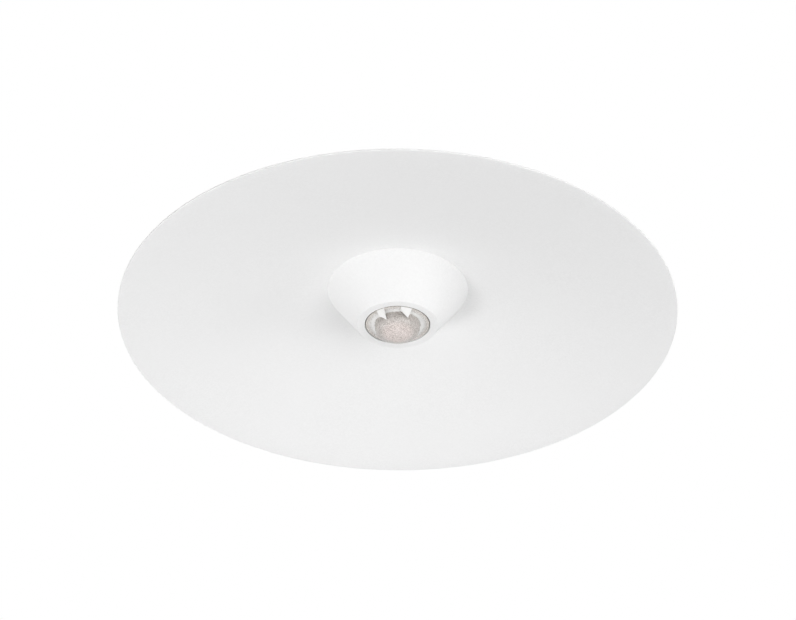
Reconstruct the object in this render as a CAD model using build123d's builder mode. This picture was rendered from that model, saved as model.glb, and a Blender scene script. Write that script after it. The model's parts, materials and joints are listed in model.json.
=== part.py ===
from math import atan, copysign, cos, radians, sin, sqrt, tan
import os

from build123d import *

os.makedirs("parts", exist_ok=True)

# Ceiling spotlight on a magnetic track adapter: a shallow dish with a short cone nose.
# Millimetres. +Z is up and X runs along the track. The origin is the middle of the
# magnet faces, which lie flat on the steel strip in the track. The lamp hangs below.

# Clearances
slip = 0.2                     # loose pieces in their pockets and windows
running = 0.05                 # radial play of a turning shaft in its bore
thread_play = 0.03             # radial play of a thread drawn as a plain cylinder
rub = 0.04                     # play between flat faces that turn on each other
cut_over = 1.0                 # how far a cut runs past the faces that it opens

# Sockets in the screw heads, as shares of the head
socket_width_share = 0.5
socket_depth_share = 0.6
countersunk_socket_share = 0.8

# Track adapter box
adapter_length = 132.0
adapter_width = 22.0
adapter_height = 20.0
adapter_corner = 3.0
housing_inner_corner = 1.4
housing_wall = 1.6
housing_floor = 1.6
cover_thickness = 1.6

# Magnets and their steel backing plates
magnet_length = 24.0
magnet_width = 12.0
magnet_height = 4.0
magnet_chamfer = 0.6
magnet_end_margin = 22.0       # from the adapter's end to the magnet's middle
yoke_end_margin = 2.5          # the backing plate stands out round the magnet
yoke_side_margin = 2.0
yoke_thickness = 1.5
rib_thickness = 1.6
rib_bearing = 0.6              # how far the plate's end lies on its rib

# Countersunk cover screws
cover_screw_radius = 1.0
cover_screw_head_radius = 1.9
cover_screw_head_height = 1.0
cover_screw_length = 7.0
screw_boss_radius = 2.4
screw_boss_inset = 2.2

# Driver board and what stands on it
board_thickness = 1.6
board_drop = 9.6               # from the magnet face down to the board's underside
board_end_gap = 1.4
board_side_gap = 0.9
board_post_radius = 2.2
board_post_inset = 3.5
board_screw_radius = 0.95
board_screw_head_radius = 1.7
board_screw_head_height = 1.2
board_screw_length = 5.0
inductor_radius = 4.5
inductor_waist_radius = 3.87
inductor_height = 4.8
inductor_flange = 1.2
inductor_pitch = 6.5           # from the inductor to the capacitors, along X
capacitor_radius = 3.0
capacitor_height = 5.4
capacitor_chamfer = 0.3
capacitor_gap = 0.5            # to the board screws' heads
capacitor_spacing = 8.0
chip_length = 5.0
chip_width = 4.0
chip_height = 1.4
chip_post_gap = 2.4
chip_spacing = 10.0

# Sprung contact pins
contact_block_gap = 0.9        # to the board screws' heads
contact_spacing = 8.0
contact_block_length = 12.0
contact_block_width = 14.0
contact_neck_inset = 1.5
contact_pin_radius = 1.2
contact_collar_radius = 1.9
contact_collar_height = 1.2
contact_tip_share = 0.9        # share of the pin's radius that its tip is rounded by
contact_tail_radius = 0.7
contact_reach = 2.0            # how far a free pin stands above the magnet face
contact_travel = 1.8
contact_tail_gap = 0.66        # left between the tail and its pad at full travel
contact_pad_thickness = 0.4
contact_shoulder_drop = 2.2    # from the magnet face down to the collar's stop
contact_spring_wire = 0.36
contact_spring_turns = 4.5

# Swivel: hollow stem through the adapter floor, with washers, stop tab and nut
stem_radius = 5.0
stem_bore_radius = 3.2
stem_flange_radius = 7.0
stem_flange_height = 1.5
stem_end_height = 0.4
swivel_washer_radius = 10.4
swivel_washer_thickness = 1.0
inner_washer_radius = 6.8
inner_washer_thickness = 0.8
stop_washer_thickness = 1.0
stop_tab_width = 2.2
stop_tab_reach = 9.0
stop_peg_radius = 0.9
stop_peg_place = 8.0
stop_peg_stand = 0.4           # the peg's top, above the stop tab
spring_washer_thickness = 1.2
spring_washer_gap = 1.2
spring_washer_slant = 30.0     # degrees
nut_across_flats = 14.0
nut_height = 4.0

# Swivel fork with two ears
fork_disc_radius = 15.0
fork_disc_thickness = 4.0
ear_radius = 7.0
ear_thickness = 4.0
tilt_drop = 11.0               # from the fork disc down to the tilt axis
tilt_limit = 20.0              # degrees each way
tilt_stop_gap = 0.05
tilt_screw_radius = 2.5
tilt_screw_head_radius = 4.0
tilt_screw_head_height = 2.0
tilt_screw_depth = 3.8         # how far the screw's end goes into the knuckle
tilt_socket_radius = 1.5
tilt_socket_depth = 1.2
tilt_washer_radius = 6.2
tilt_washer_thickness = 0.56

# Tilt bracket: flange with a hollow knuckle
knuckle_length = 14.0          # along the tilt axis
knuckle_width = 13.2
duct_radius = 2.2
duct_mouth_wall = 1.0
bracket_drop = 10.0            # from the tilt axis down to the flange
bracket_radius = 24.0
bracket_thickness = 2.5
bracket_screw_radius = 1.5
bracket_screw_head_radius = 2.8
bracket_screw_head_height = 1.8
bracket_screw_length = 6.0
bracket_screw_count = 3
first_screw_turn = 90.0        # degrees round from +X, for the dish screws too

# Track locks: a finger lever below the adapter turns a cam inside it
lever_radius = 6.5
lever_thickness = 2.5
lever_reach = 13.0
lever_grip_width = 4.0
lock_washer_thickness = 0.5
lock_shaft_radius = 2.5
cam_reach = 12.6
cam_width = 5.0
cam_thickness = 3.0
cam_drop = 9.0                 # from the magnet face down to the cam's top
cam_key = 3.4
cam_window_gap = 0.4
lock_spring_radius = 3.6
lock_spring_wire = 0.7
lock_spring_turns = 4.0
lock_screw_radius = 1.0
lock_screw_head_radius = 2.4
lock_screw_head_height = 1.2
lock_screw_length = 4.0

# Leads
lead_radius = 1.6
core_radius = 0.6
core_offset = 0.8
core_hole_play = 0.1
core_pass_play = 0.4           # in the heat sink and the thermal pad
core_board_stand = 0.6         # the cores' ends, above the driver board
core_bend_radius = 2.5
core_side = 12.0               # where the cores go down to the light source board
lead_gap = 0.8                 # above the tilt axis, where the lead bends
core_run_drop = 2.9            # from the bracket's underside to the cores' level run
core_lead_in = 1.6             # straight length before the first bend

# Heat sink
sink_plate_thickness = 5.0
sink_core_height = 6.5
sink_recess_radius = 15.5
fin_count = 24
fin_thickness = 1.6
fin_height = 5.5
fin_end_gap = 1.0
fin_root = 1.0                 # how far the fins run into the core
thread_boss_inset = 11.8       # from the nose's base edge in to the boss
thread_boss_wall = 3.0
thread_boss_height = 6.5

# Dish
dish_diameter = 300.0
dish_depth = 29.0
dish_sheet = 1.0
dish_hole_gap = 0.3
dish_rim_round = 0.3
dish_screw_radius = 1.25
dish_screw_head_radius = 2.1
dish_screw_head_height = 1.5
dish_screw_length = 5.0
dish_screw_count = 3

# Nose cone
nose_base_diameter = 77.6
nose_tip_diameter = 44.0
nose_height = 22.95
nose_joint_gap = 0.05          # hairline between the nose and the dish's land
nose_wall = 2.0
nose_edge_round = 0.2
collar_wall = 3.1
collar_play = 0.1
tip_block_height = 4.9
ledge_radius = 15.2
ledge_thickness = 1.5

# Lens, its gasket and the snap ring with two pointed lugs
lens_pocket_radius = 17.8
lens_radius = 17.5
lens_flange_thickness = 1.4
lens_step_radius = 16.7
lens_step_height = 0.4
lens_dome_radius = 12.2
lens_dome_side = 2.5
lens_dome_cap = 5.9
lens_dome_recess = 0.3         # the dome's root, above the nose's tip face
lens_hollow_radius = 9.0
lens_hollow_depth = 4.0
lens_gasket_thickness = 0.6
snap_ring_thickness = 0.7
snap_ring_inner_radius = 17.3
snap_ring_outer_radius = 18.4
snap_groove_radius = snap_ring_outer_radius + slip
snap_groove_play = 0.1
snap_ring_start = 7.0          # degrees round from -Y, where the ring's ends are
snap_ring_end = -25.3
lug_root_radius = 17.6
lug_thickness = 0.6
right_lug_root_span = 20.5     # degrees
right_lug_tip_turn = 18.5      # degrees from the ring's end to the lug's tip
right_lug_tip_radius = 12.9
right_lug_tip_reach = 3.2      # below the nose's tip face
right_lug_shoulder = 2.8       # straight part of its inner side
left_lug_root_span = 15.2
left_lug_tip_turn = 2.9
left_lug_tip_radius = 12.7
left_lug_tip_reach = 4.1
left_lug_shoulder = 4.2        # straight part of its outer side
left_lug_elbow_inset = 1.4     # from that side to the bend in its slanting edge
left_lug_elbow_reach = 4.9

# Light source
light_board_radius = 17.5
light_board_thickness = 1.6
thermal_pad_thickness = 0.4
emitter_side = 13.5
emitter_thickness = 1.0
phosphor_radius = 5.5
phosphor_thickness = 0.3
holder_thickness = 3.0
holder_mouth_radius = 7.2
light_screw_place = 13.5
light_screw_radius = 1.4
light_screw_head_radius = 2.5
light_screw_head_height = 1.6
light_screw_length = 9.0
core_end_drop = 0.9            # the cores' ends, below the light source board
core_slot_radius = 1.6

# Reflector
reflector_top_radius = 8.2
reflector_mouth_radius = 14.2
reflector_wall = 1.0
reflector_flange_radius = 19.5
reflector_gap = 0.1

# Levels, from the magnet face down
cover_bottom = -cover_thickness
floor_top = -(adapter_height - housing_floor)
adapter_bottom = -adapter_height
magnet_bottom = -magnet_height
yoke_bottom = magnet_bottom - yoke_thickness
board_bottom = -board_drop
board_top = board_bottom + board_thickness
fork_top = adapter_bottom - swivel_washer_thickness
fork_bottom = fork_top - fork_disc_thickness
tilt_axis = fork_bottom - tilt_drop
bracket_top = tilt_axis - bracket_drop
bracket_bottom = bracket_top - bracket_thickness
sink_plate_top = bracket_bottom - sink_core_height
sink_bottom = sink_plate_top - sink_plate_thickness
dish_land = sink_bottom - dish_sheet
dish_rim = dish_land - dish_depth
nose_base = dish_land - nose_joint_gap
nose_tip = nose_base - nose_height
cam_top = -cam_drop
cam_bottom = cam_top - cam_thickness
lever_top = adapter_bottom - lock_washer_thickness
lever_bottom = lever_top - lever_thickness

# Places and sizes that follow
inner_length = adapter_length - 2 * housing_wall
inner_width = adapter_width - 2 * housing_wall
magnet_x = adapter_length / 2 - magnet_end_margin
yoke_length = magnet_length + 2 * yoke_end_margin
yoke_width = magnet_width + 2 * yoke_side_margin
rib_offset = yoke_length / 2 - rib_bearing + rib_thickness / 2
screw_boss_x = inner_length / 2 - screw_boss_inset
screw_boss_y = inner_width / 2 - screw_boss_inset
board_length = 2 * (magnet_x - rib_offset - rib_thickness / 2 - board_end_gap)
board_width = inner_width - 2 * board_side_gap
board_post_x = board_length / 2 - board_post_inset
board_post_y = board_width / 2 - board_post_radius
screw_room_x = board_post_x - board_screw_head_radius
contact_x = -(screw_room_x - contact_block_gap - contact_block_length / 2)
capacitor_x = screw_room_x - capacitor_gap - capacitor_radius
inductor_x = capacitor_x - inductor_pitch
chip_x = board_post_x - board_post_radius - chip_post_gap - chip_width / 2
stem_hole_radius = stem_radius + running
lock_hole_radius = lock_shaft_radius + running
cam_sweep = sqrt(cam_reach ** 2 - (inner_width / 2) ** 2) + cam_width / 2 + cam_window_gap
stop_peg_top = floor_top + inner_washer_thickness + stop_washer_thickness + stop_peg_stand


def save(piece, name):
    """Label a finished piece and write its STEP file."""
    piece.part.label = name
    export_step(piece.part, f"parts/{name}.step")


def pan_screws(name, places, head_level, shank_radius, head_radius, head_height, length, up):
    """Pan-head screws at the places given. Their shanks go up or down from the head."""
    away = 1 if up else -1
    shank_start = head_level if up else head_level - length
    head_start = head_level - head_height if up else head_level
    with BuildPart() as screws:
        with BuildSketch(Plane.XY.offset(shank_start)):
            with Locations(places):
                Circle(shank_radius)
        extrude(amount=length)
        with BuildSketch(Plane.XY.offset(head_start)):
            with Locations(places):
                Circle(head_radius)
        extrude(amount=head_height)
        # A hex socket in each head
        with BuildSketch(Plane.XY.offset(head_level - away * head_height)):
            with Locations(places):
                RegularPolygon(head_radius * socket_width_share, 6)
        extrude(amount=away * head_height * socket_depth_share, mode=Mode.SUBTRACT)
    save(screws, name)


# Adapter housing: an open trough with ribs, screw bosses and board posts
boss_places = [(x, y) for x in (-screw_boss_x, screw_boss_x) for y in (-screw_boss_y, screw_boss_y)]
post_places = [(x, y) for x in (-board_post_x, board_post_x) for y in (-board_post_y, board_post_y)]
rib_places = [(side * magnet_x + way * rib_offset, 0) for side in (-1, 1) for way in (-1, 1)]
lock_places = [(-magnet_x, 0), (magnet_x, 0)]

with BuildPart() as adapter_housing:
    with BuildSketch(Plane.XY.offset(adapter_bottom)):
        RectangleRounded(adapter_length, adapter_width, adapter_corner)
    extrude(amount=adapter_height - cover_thickness)
    with BuildSketch(Plane.XY.offset(floor_top)):
        RectangleRounded(inner_length, inner_width, housing_inner_corner)
    extrude(amount=cover_bottom - floor_top, mode=Mode.SUBTRACT)
    with BuildSketch(Plane.XY.offset(floor_top)):
        with Locations(rib_places):
            Rectangle(rib_thickness, inner_width)
    extrude(amount=yoke_bottom - floor_top)
    with BuildSketch(Plane.XY.offset(floor_top)):
        with Locations(boss_places):
            Circle(screw_boss_radius)
    extrude(amount=cover_bottom - floor_top)
    with BuildSketch(Plane.XY.offset(floor_top)):
        with Locations(post_places):
            Circle(board_post_radius)
    extrude(amount=board_bottom - floor_top)
    with BuildSketch(Plane.XY.offset(floor_top)):
        with Locations((-stop_peg_place, 0)):
            Circle(stop_peg_radius)
    extrude(amount=stop_peg_top - floor_top)
    # Threaded holes for the screws
    with BuildSketch(Plane.XY.offset(cover_bottom)):
        with Locations(boss_places):
            Circle(cover_screw_radius + thread_play)
    extrude(amount=-cover_screw_length, mode=Mode.SUBTRACT)
    with BuildSketch(Plane.XY.offset(board_bottom)):
        with Locations(post_places):
            Circle(board_screw_radius + thread_play)
    extrude(amount=-board_screw_length, mode=Mode.SUBTRACT)
    # Bores for the swivel stem and the lock shafts
    with BuildSketch(Plane.XY.offset(adapter_bottom)):
        Circle(stem_hole_radius)
        with Locations(lock_places):
            Circle(lock_hole_radius)
    extrude(amount=housing_floor, mode=Mode.SUBTRACT)
    # Side windows that the lock cams turn out through
    with BuildSketch(Plane.XY.offset(cam_bottom - cam_window_gap)):
        with Locations(lock_places):
            Rectangle(2 * cam_sweep, adapter_width + 2 * cut_over)
    extrude(amount=cam_thickness + 2 * cam_window_gap, mode=Mode.SUBTRACT)
save(adapter_housing, "adapter_housing")

# Adapter cover: a lid with magnet windows in collars and a window for the contact block
neck_length = contact_block_length - 2 * contact_neck_inset
neck_width = contact_block_width - 2 * contact_neck_inset

with BuildPart() as adapter_cover:
    with BuildSketch(Plane.XY.offset(cover_bottom)):
        RectangleRounded(adapter_length, adapter_width, adapter_corner)
    extrude(amount=cover_thickness)
    with BuildSketch(Plane.XY.offset(magnet_bottom)):
        with Locations(lock_places):
            Rectangle(yoke_length, yoke_width)
    extrude(amount=cover_bottom - magnet_bottom)
    with BuildSketch(Plane.XY.offset(magnet_bottom)):
        with Locations(lock_places):
            Rectangle(magnet_length + 2 * slip, magnet_width + 2 * slip)
    extrude(amount=magnet_height, mode=Mode.SUBTRACT)
    with BuildSketch(Plane.XY.offset(cover_bottom)):
        with Locations((contact_x, 0)):
            Rectangle(neck_length + 2 * slip, neck_width + 2 * slip)
    extrude(amount=cover_thickness, mode=Mode.SUBTRACT)
    with Locations([(x, y, 0) for x, y in boss_places]):
        CounterSinkHole(
            cover_screw_radius + thread_play, cover_screw_head_radius + thread_play, cover_thickness
        )
save(adapter_cover, "adapter_cover")

# Countersunk cover screws
with BuildPart() as cover_screws:
    with BuildSketch(Plane.XY.offset(-cover_screw_length)):
        with Locations(boss_places):
            Circle(cover_screw_radius)
    extrude(amount=cover_screw_length)
    with Locations([(x, y, -cover_screw_head_height / 2) for x, y in boss_places]):
        Cone(cover_screw_radius, cover_screw_head_radius, cover_screw_head_height)
    with BuildSketch(Plane.XY):
        with Locations(boss_places):
            RegularPolygon(cover_screw_radius * countersunk_socket_share, 6)
    extrude(amount=-cover_screw_head_height * countersunk_socket_share, mode=Mode.SUBTRACT)
save(cover_screws, "cover_screws")

# Magnets, with their pole faces at the origin's level, and their steel backing plates
for side, place in (("left", -magnet_x), ("right", magnet_x)):
    with BuildPart() as magnet:
        with BuildSketch(Plane.XY.offset(magnet_bottom)):
            with Locations((place, 0)):
                Rectangle(magnet_length, magnet_width)
        extrude(amount=magnet_height)
        chamfer(magnet.edges().filter_by(Axis.Z), magnet_chamfer)
    save(magnet, f"track_magnet_{side}")

    with BuildPart() as yoke:
        with BuildSketch(Plane.XY.offset(yoke_bottom)):
            with Locations((place, 0)):
                Rectangle(yoke_length, yoke_width)
        extrude(amount=yoke_thickness)
    save(yoke, f"magnet_yoke_{side}")

# Driver board with its components
core_places = [(0, -core_offset), (0, core_offset)]

with BuildPart() as driver_board:
    with BuildSketch(Plane.XY.offset(board_bottom)):
        Rectangle(board_length, board_width)
        with Locations(post_places):
            Circle(board_screw_radius + slip, mode=Mode.SUBTRACT)
        with Locations(core_places):
            Circle(core_radius + core_hole_play, mode=Mode.SUBTRACT)
    extrude(amount=board_thickness)
save(driver_board, "driver_board")

pan_screws(
    "board_screws", post_places, board_top, board_screw_radius, board_screw_head_radius,
    board_screw_head_height, board_screw_length, up=False,
)

with BuildPart() as driver_inductor:
    with BuildSketch(Plane.XY.offset(board_top)):
        with Locations((inductor_x, 0)):
            Circle(inductor_waist_radius)
    extrude(amount=inductor_height)
    # The flanges at both ends of the winding
    for flange_level in (board_top, board_top + inductor_height - inductor_flange):
        with BuildSketch(Plane.XY.offset(flange_level)):
            with Locations((inductor_x, 0)):
                Circle(inductor_radius)
        extrude(amount=inductor_flange)
save(driver_inductor, "driver_inductor")

with BuildPart() as driver_capacitors:
    with BuildSketch(Plane.XY.offset(board_top)):
        with Locations((capacitor_x, -capacitor_spacing / 2), (capacitor_x, capacitor_spacing / 2)):
            Circle(capacitor_radius)
    extrude(amount=capacitor_height)
    chamfer(driver_capacitors.edges().group_by(Axis.Z)[-1], capacitor_chamfer)
save(driver_capacitors, "driver_capacitors")

# The chips hang from the board's underside
with BuildPart() as driver_chips:
    with BuildSketch(Plane.XY.offset(board_bottom - chip_height)):
        with Locations((chip_x, -chip_spacing / 2), (chip_x, chip_spacing / 2)):
            Rectangle(chip_width, chip_length)
    extrude(amount=chip_height)
save(driver_chips, "driver_chips")

# Contact block: holds two sprung pins over pads on the driver board
pin_places = [(contact_x, -contact_spacing / 2), (contact_x, contact_spacing / 2)]
shoulder = -contact_shoulder_drop
pad_top = board_top + contact_pad_thickness
collar_bottom = shoulder - rub - contact_collar_height
contact_tail_end = pad_top + contact_tail_gap + contact_travel

with BuildPart() as contact_block:
    with BuildSketch(Plane.XY.offset(board_top)):
        with Locations((contact_x, 0)):
            Rectangle(contact_block_length, contact_block_width)
    extrude(amount=cover_bottom - board_top)
    with BuildSketch(Plane.XY.offset(cover_bottom)):
        with Locations((contact_x, 0)):
            Rectangle(neck_length, neck_width)
    extrude(amount=cover_thickness)
    with BuildSketch(Plane.XY.offset(board_top)):
        with Locations(pin_places):
            Circle(contact_collar_radius + running)
    extrude(amount=shoulder - board_top, mode=Mode.SUBTRACT)
    with BuildSketch(Plane.XY.offset(shoulder)):
        with Locations(pin_places):
            Circle(contact_pin_radius + running)
    extrude(amount=-shoulder, mode=Mode.SUBTRACT)
save(contact_block, "contact_block")

with BuildPart() as contact_pads:
    with BuildSketch(Plane.XY.offset(board_top)):
        with Locations(pin_places):
            Circle(contact_collar_radius - slip / 2)
    extrude(amount=contact_pad_thickness)
save(contact_pads, "contact_pads")

for pole, place in (("positive", pin_places[1]), ("negative", pin_places[0])):
    with BuildPart() as contact_pin:
        with BuildSketch(Plane.XY.offset(collar_bottom)):
            with Locations(place):
                Circle(contact_collar_radius)
        extrude(amount=contact_collar_height)
        with BuildSketch(Plane.XY.offset(collar_bottom + contact_collar_height)):
            with Locations(place):
                Circle(contact_pin_radius)
        extrude(amount=contact_reach - collar_bottom - contact_collar_height)
        fillet(contact_pin.edges().group_by(Axis.Z)[-1], contact_pin_radius * contact_tip_share)
        with BuildSketch(Plane.XY.offset(contact_tail_end)):
            with Locations(place):
                Circle(contact_tail_radius)
        extrude(amount=collar_bottom - contact_tail_end)
    save(contact_pin, f"contact_pin_{pole}")

    spring_height = collar_bottom - pad_top - contact_spring_wire
    with BuildPart() as contact_spring:
        with BuildLine() as spring_path:
            Helix(
                pitch=spring_height / contact_spring_turns,
                height=spring_height,
                radius=(contact_collar_radius + contact_tail_radius) / 2,
                center=(place[0], place[1], pad_top + contact_spring_wire / 2),
            )
        with BuildSketch(spring_path.line ^ 0):
            Circle(contact_spring_wire / 2)
        sweep(is_frenet=True)
    save(contact_spring, f"contact_spring_{pole}")

# Swivel washers, stop washer, spring washer and nut
with BuildPart() as swivel_washer:
    with BuildSketch(Plane.XY.offset(fork_top + rub)):
        Circle(swivel_washer_radius)
        Circle(stem_radius + 2 * running, mode=Mode.SUBTRACT)
    extrude(amount=swivel_washer_thickness - rub)
save(swivel_washer, "swivel_washer")

with BuildPart() as inner_washer:
    with BuildSketch(Plane.XY.offset(floor_top)):
        Circle(inner_washer_radius)
        Circle(stem_radius + 2 * running, mode=Mode.SUBTRACT)
    extrude(amount=inner_washer_thickness - rub)
save(inner_washer, "inner_washer")

stop_washer_bottom = floor_top + inner_washer_thickness
with BuildPart() as stop_washer:
    with BuildSketch(Plane.XY.offset(stop_washer_bottom)):
        Circle(inner_washer_radius)
        with Locations((stop_tab_reach / 2, 0)):
            Rectangle(stop_tab_reach, stop_tab_width)
        Circle(stem_radius + thread_play, mode=Mode.SUBTRACT)
    extrude(amount=stop_washer_thickness)
save(stop_washer, "stop_washer")

spring_washer_bottom = stop_washer_bottom + stop_washer_thickness
with BuildPart() as spring_washer:
    with BuildSketch(Plane.XY.offset(spring_washer_bottom)):
        Circle(inner_washer_radius)
        Circle(stem_radius + thread_play, mode=Mode.SUBTRACT)
    extrude(amount=spring_washer_thickness)
    # The slanted split of a spring washer
    spring_washer_middle = spring_washer_bottom + spring_washer_thickness / 2
    with BuildSketch(Plane.YZ):
        with Locations(Location((0, spring_washer_middle), spring_washer_slant)):
            Rectangle(spring_washer_gap, spring_washer_thickness + 2 * cut_over)
    extrude(amount=inner_washer_radius + cut_over, mode=Mode.SUBTRACT)
save(spring_washer, "spring_washer")

nut_bottom = spring_washer_bottom + spring_washer_thickness
nut_top = nut_bottom + nut_height
with BuildPart() as swivel_nut:
    with BuildSketch(Plane.XY.offset(nut_bottom)):
        RegularPolygon(nut_across_flats / 2, 6, major_radius=False)
        Circle(stem_radius + thread_play, mode=Mode.SUBTRACT)
    extrude(amount=nut_height)
save(swivel_nut, "swivel_nut")

with BuildPart() as swivel_stem:
    with BuildSketch(Plane.XY.offset(fork_bottom)):
        Circle(stem_flange_radius)
    extrude(amount=stem_flange_height)
    with BuildSketch(Plane.XY.offset(fork_bottom)):
        Circle(stem_radius)
    extrude(amount=nut_top + stem_end_height - fork_bottom)
    with BuildSketch(Plane.XY.offset(fork_bottom)):
        Circle(stem_bore_radius)
    extrude(amount=nut_top + stem_end_height - fork_bottom, mode=Mode.SUBTRACT)
save(swivel_stem, "swivel_stem")

# Swivel fork: a disc with two ears that carry the tilt screws
ear_inner = knuckle_length / 2 + tilt_washer_thickness + rub
ear_outer = ear_inner + ear_thickness

with BuildPart() as swivel_fork:
    with BuildSketch(Plane.XY.offset(fork_bottom)):
        Circle(fork_disc_radius)
    extrude(amount=fork_disc_thickness)
    for ear_start in (ear_inner, -ear_outer):
        with BuildSketch(Plane.YZ.offset(ear_start)):
            with Locations((0, tilt_axis)):
                Circle(ear_radius)
            with Locations((0, (fork_bottom + tilt_axis) / 2)):
                Rectangle(2 * ear_radius, tilt_drop)
        extrude(amount=ear_thickness)
        with BuildSketch(Plane.YZ.offset(ear_start)):
            with Locations((0, tilt_axis)):
                Circle(tilt_screw_radius + thread_play)
        extrude(amount=ear_thickness, mode=Mode.SUBTRACT)
    with BuildSketch(Plane.XY.offset(fork_bottom)):
        Circle(stem_radius + thread_play)
    extrude(amount=fork_disc_thickness, mode=Mode.SUBTRACT)
    with BuildSketch(Plane.XY.offset(fork_bottom)):
        Circle(stem_flange_radius + thread_play)
    extrude(amount=stem_flange_height, mode=Mode.SUBTRACT)
save(swivel_fork, "swivel_fork")

for side, way in (("left", -1), ("right", 1)):
    screw_end = knuckle_length / 2 - tilt_screw_depth
    with BuildPart() as tilt_screw:
        with BuildSketch(Plane.YZ.offset(way * screw_end)):
            with Locations((0, tilt_axis)):
                Circle(tilt_screw_radius)
        extrude(amount=way * (ear_outer - screw_end))
        with BuildSketch(Plane.YZ.offset(way * ear_outer)):
            with Locations((0, tilt_axis)):
                Circle(tilt_screw_head_radius)
        extrude(amount=way * tilt_screw_head_height)
        with BuildSketch(Plane.YZ.offset(way * (ear_outer + tilt_screw_head_height))):
            with Locations((0, tilt_axis)):
                RegularPolygon(tilt_socket_radius, 6)
        extrude(amount=-way * tilt_socket_depth, mode=Mode.SUBTRACT)
    save(tilt_screw, f"tilt_screw_{side}")

    with BuildPart() as tilt_washer:
        with BuildSketch(Plane.YZ.offset(way * (ear_inner - tilt_washer_thickness))):
            with Locations((0, tilt_axis)):
                Circle(tilt_washer_radius)
                Circle(tilt_screw_radius + running, mode=Mode.SUBTRACT)
        extrude(amount=way * tilt_washer_thickness)
    save(tilt_washer, f"tilt_washer_{side}")

# Tilt bracket: its knuckle's top corners meet the fork disc at each end of the tilt
limit = radians(tilt_limit)
knuckle_top = tilt_axis + (tilt_drop - tilt_stop_gap - knuckle_width / 2 * sin(limit)) / cos(limit)
duct_mouth = knuckle_width / 2 - duct_mouth_wall
bracket_screw_place = (sink_recess_radius + bracket_radius) / 2

with BuildPart() as tilt_bracket:
    with BuildSketch(Plane.XY.offset(bracket_bottom)):
        Circle(bracket_radius)
    extrude(amount=bracket_thickness)
    with BuildSketch(Plane.XY.offset(bracket_top)):
        Rectangle(knuckle_length, knuckle_width)
    extrude(amount=knuckle_top - bracket_top)
    with BuildSketch(Plane.XY.offset(bracket_bottom)):
        Circle(duct_radius)
    extrude(amount=knuckle_top - bracket_bottom, mode=Mode.SUBTRACT)
    # The duct widens above the tilt axis, so the lead can stay still as the head tilts
    with BuildSketch(Plane.YZ.offset(-duct_radius)):
        with BuildLine():
            Polyline(
                (-duct_radius, tilt_axis),
                (duct_radius, tilt_axis),
                (duct_mouth, knuckle_top),
                (-duct_mouth, knuckle_top),
                close=True,
            )
        make_face()
    extrude(amount=2 * duct_radius, mode=Mode.SUBTRACT)
    with BuildSketch(Plane.YZ.offset(-knuckle_length / 2)):
        with Locations((0, tilt_axis)):
            Circle(tilt_screw_radius + running)
    extrude(amount=tilt_screw_depth + slip, mode=Mode.SUBTRACT)
    with BuildSketch(Plane.YZ.offset(knuckle_length / 2)):
        with Locations((0, tilt_axis)):
            Circle(tilt_screw_radius + running)
    extrude(amount=-tilt_screw_depth - slip, mode=Mode.SUBTRACT)
    with BuildSketch(Plane.XY.offset(bracket_bottom)):
        with PolarLocations(bracket_screw_place, bracket_screw_count, first_screw_turn):
            Circle(bracket_screw_radius + slip)
    extrude(amount=bracket_thickness, mode=Mode.SUBTRACT)
save(tilt_bracket, "tilt_bracket")


def ring_of(radius, count, start):
    """Evenly spaced points on a circle, the first at the start angle."""
    angles = [radians(start + 360 / count * turn) for turn in range(count)]
    return [(radius * cos(angle), radius * sin(angle)) for angle in angles]


bracket_screw_places = ring_of(bracket_screw_place, bracket_screw_count, first_screw_turn)
pan_screws(
    "bracket_screws", bracket_screw_places, bracket_top, bracket_screw_radius,
    bracket_screw_head_radius, bracket_screw_head_height, bracket_screw_length, up=False,
)

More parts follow.
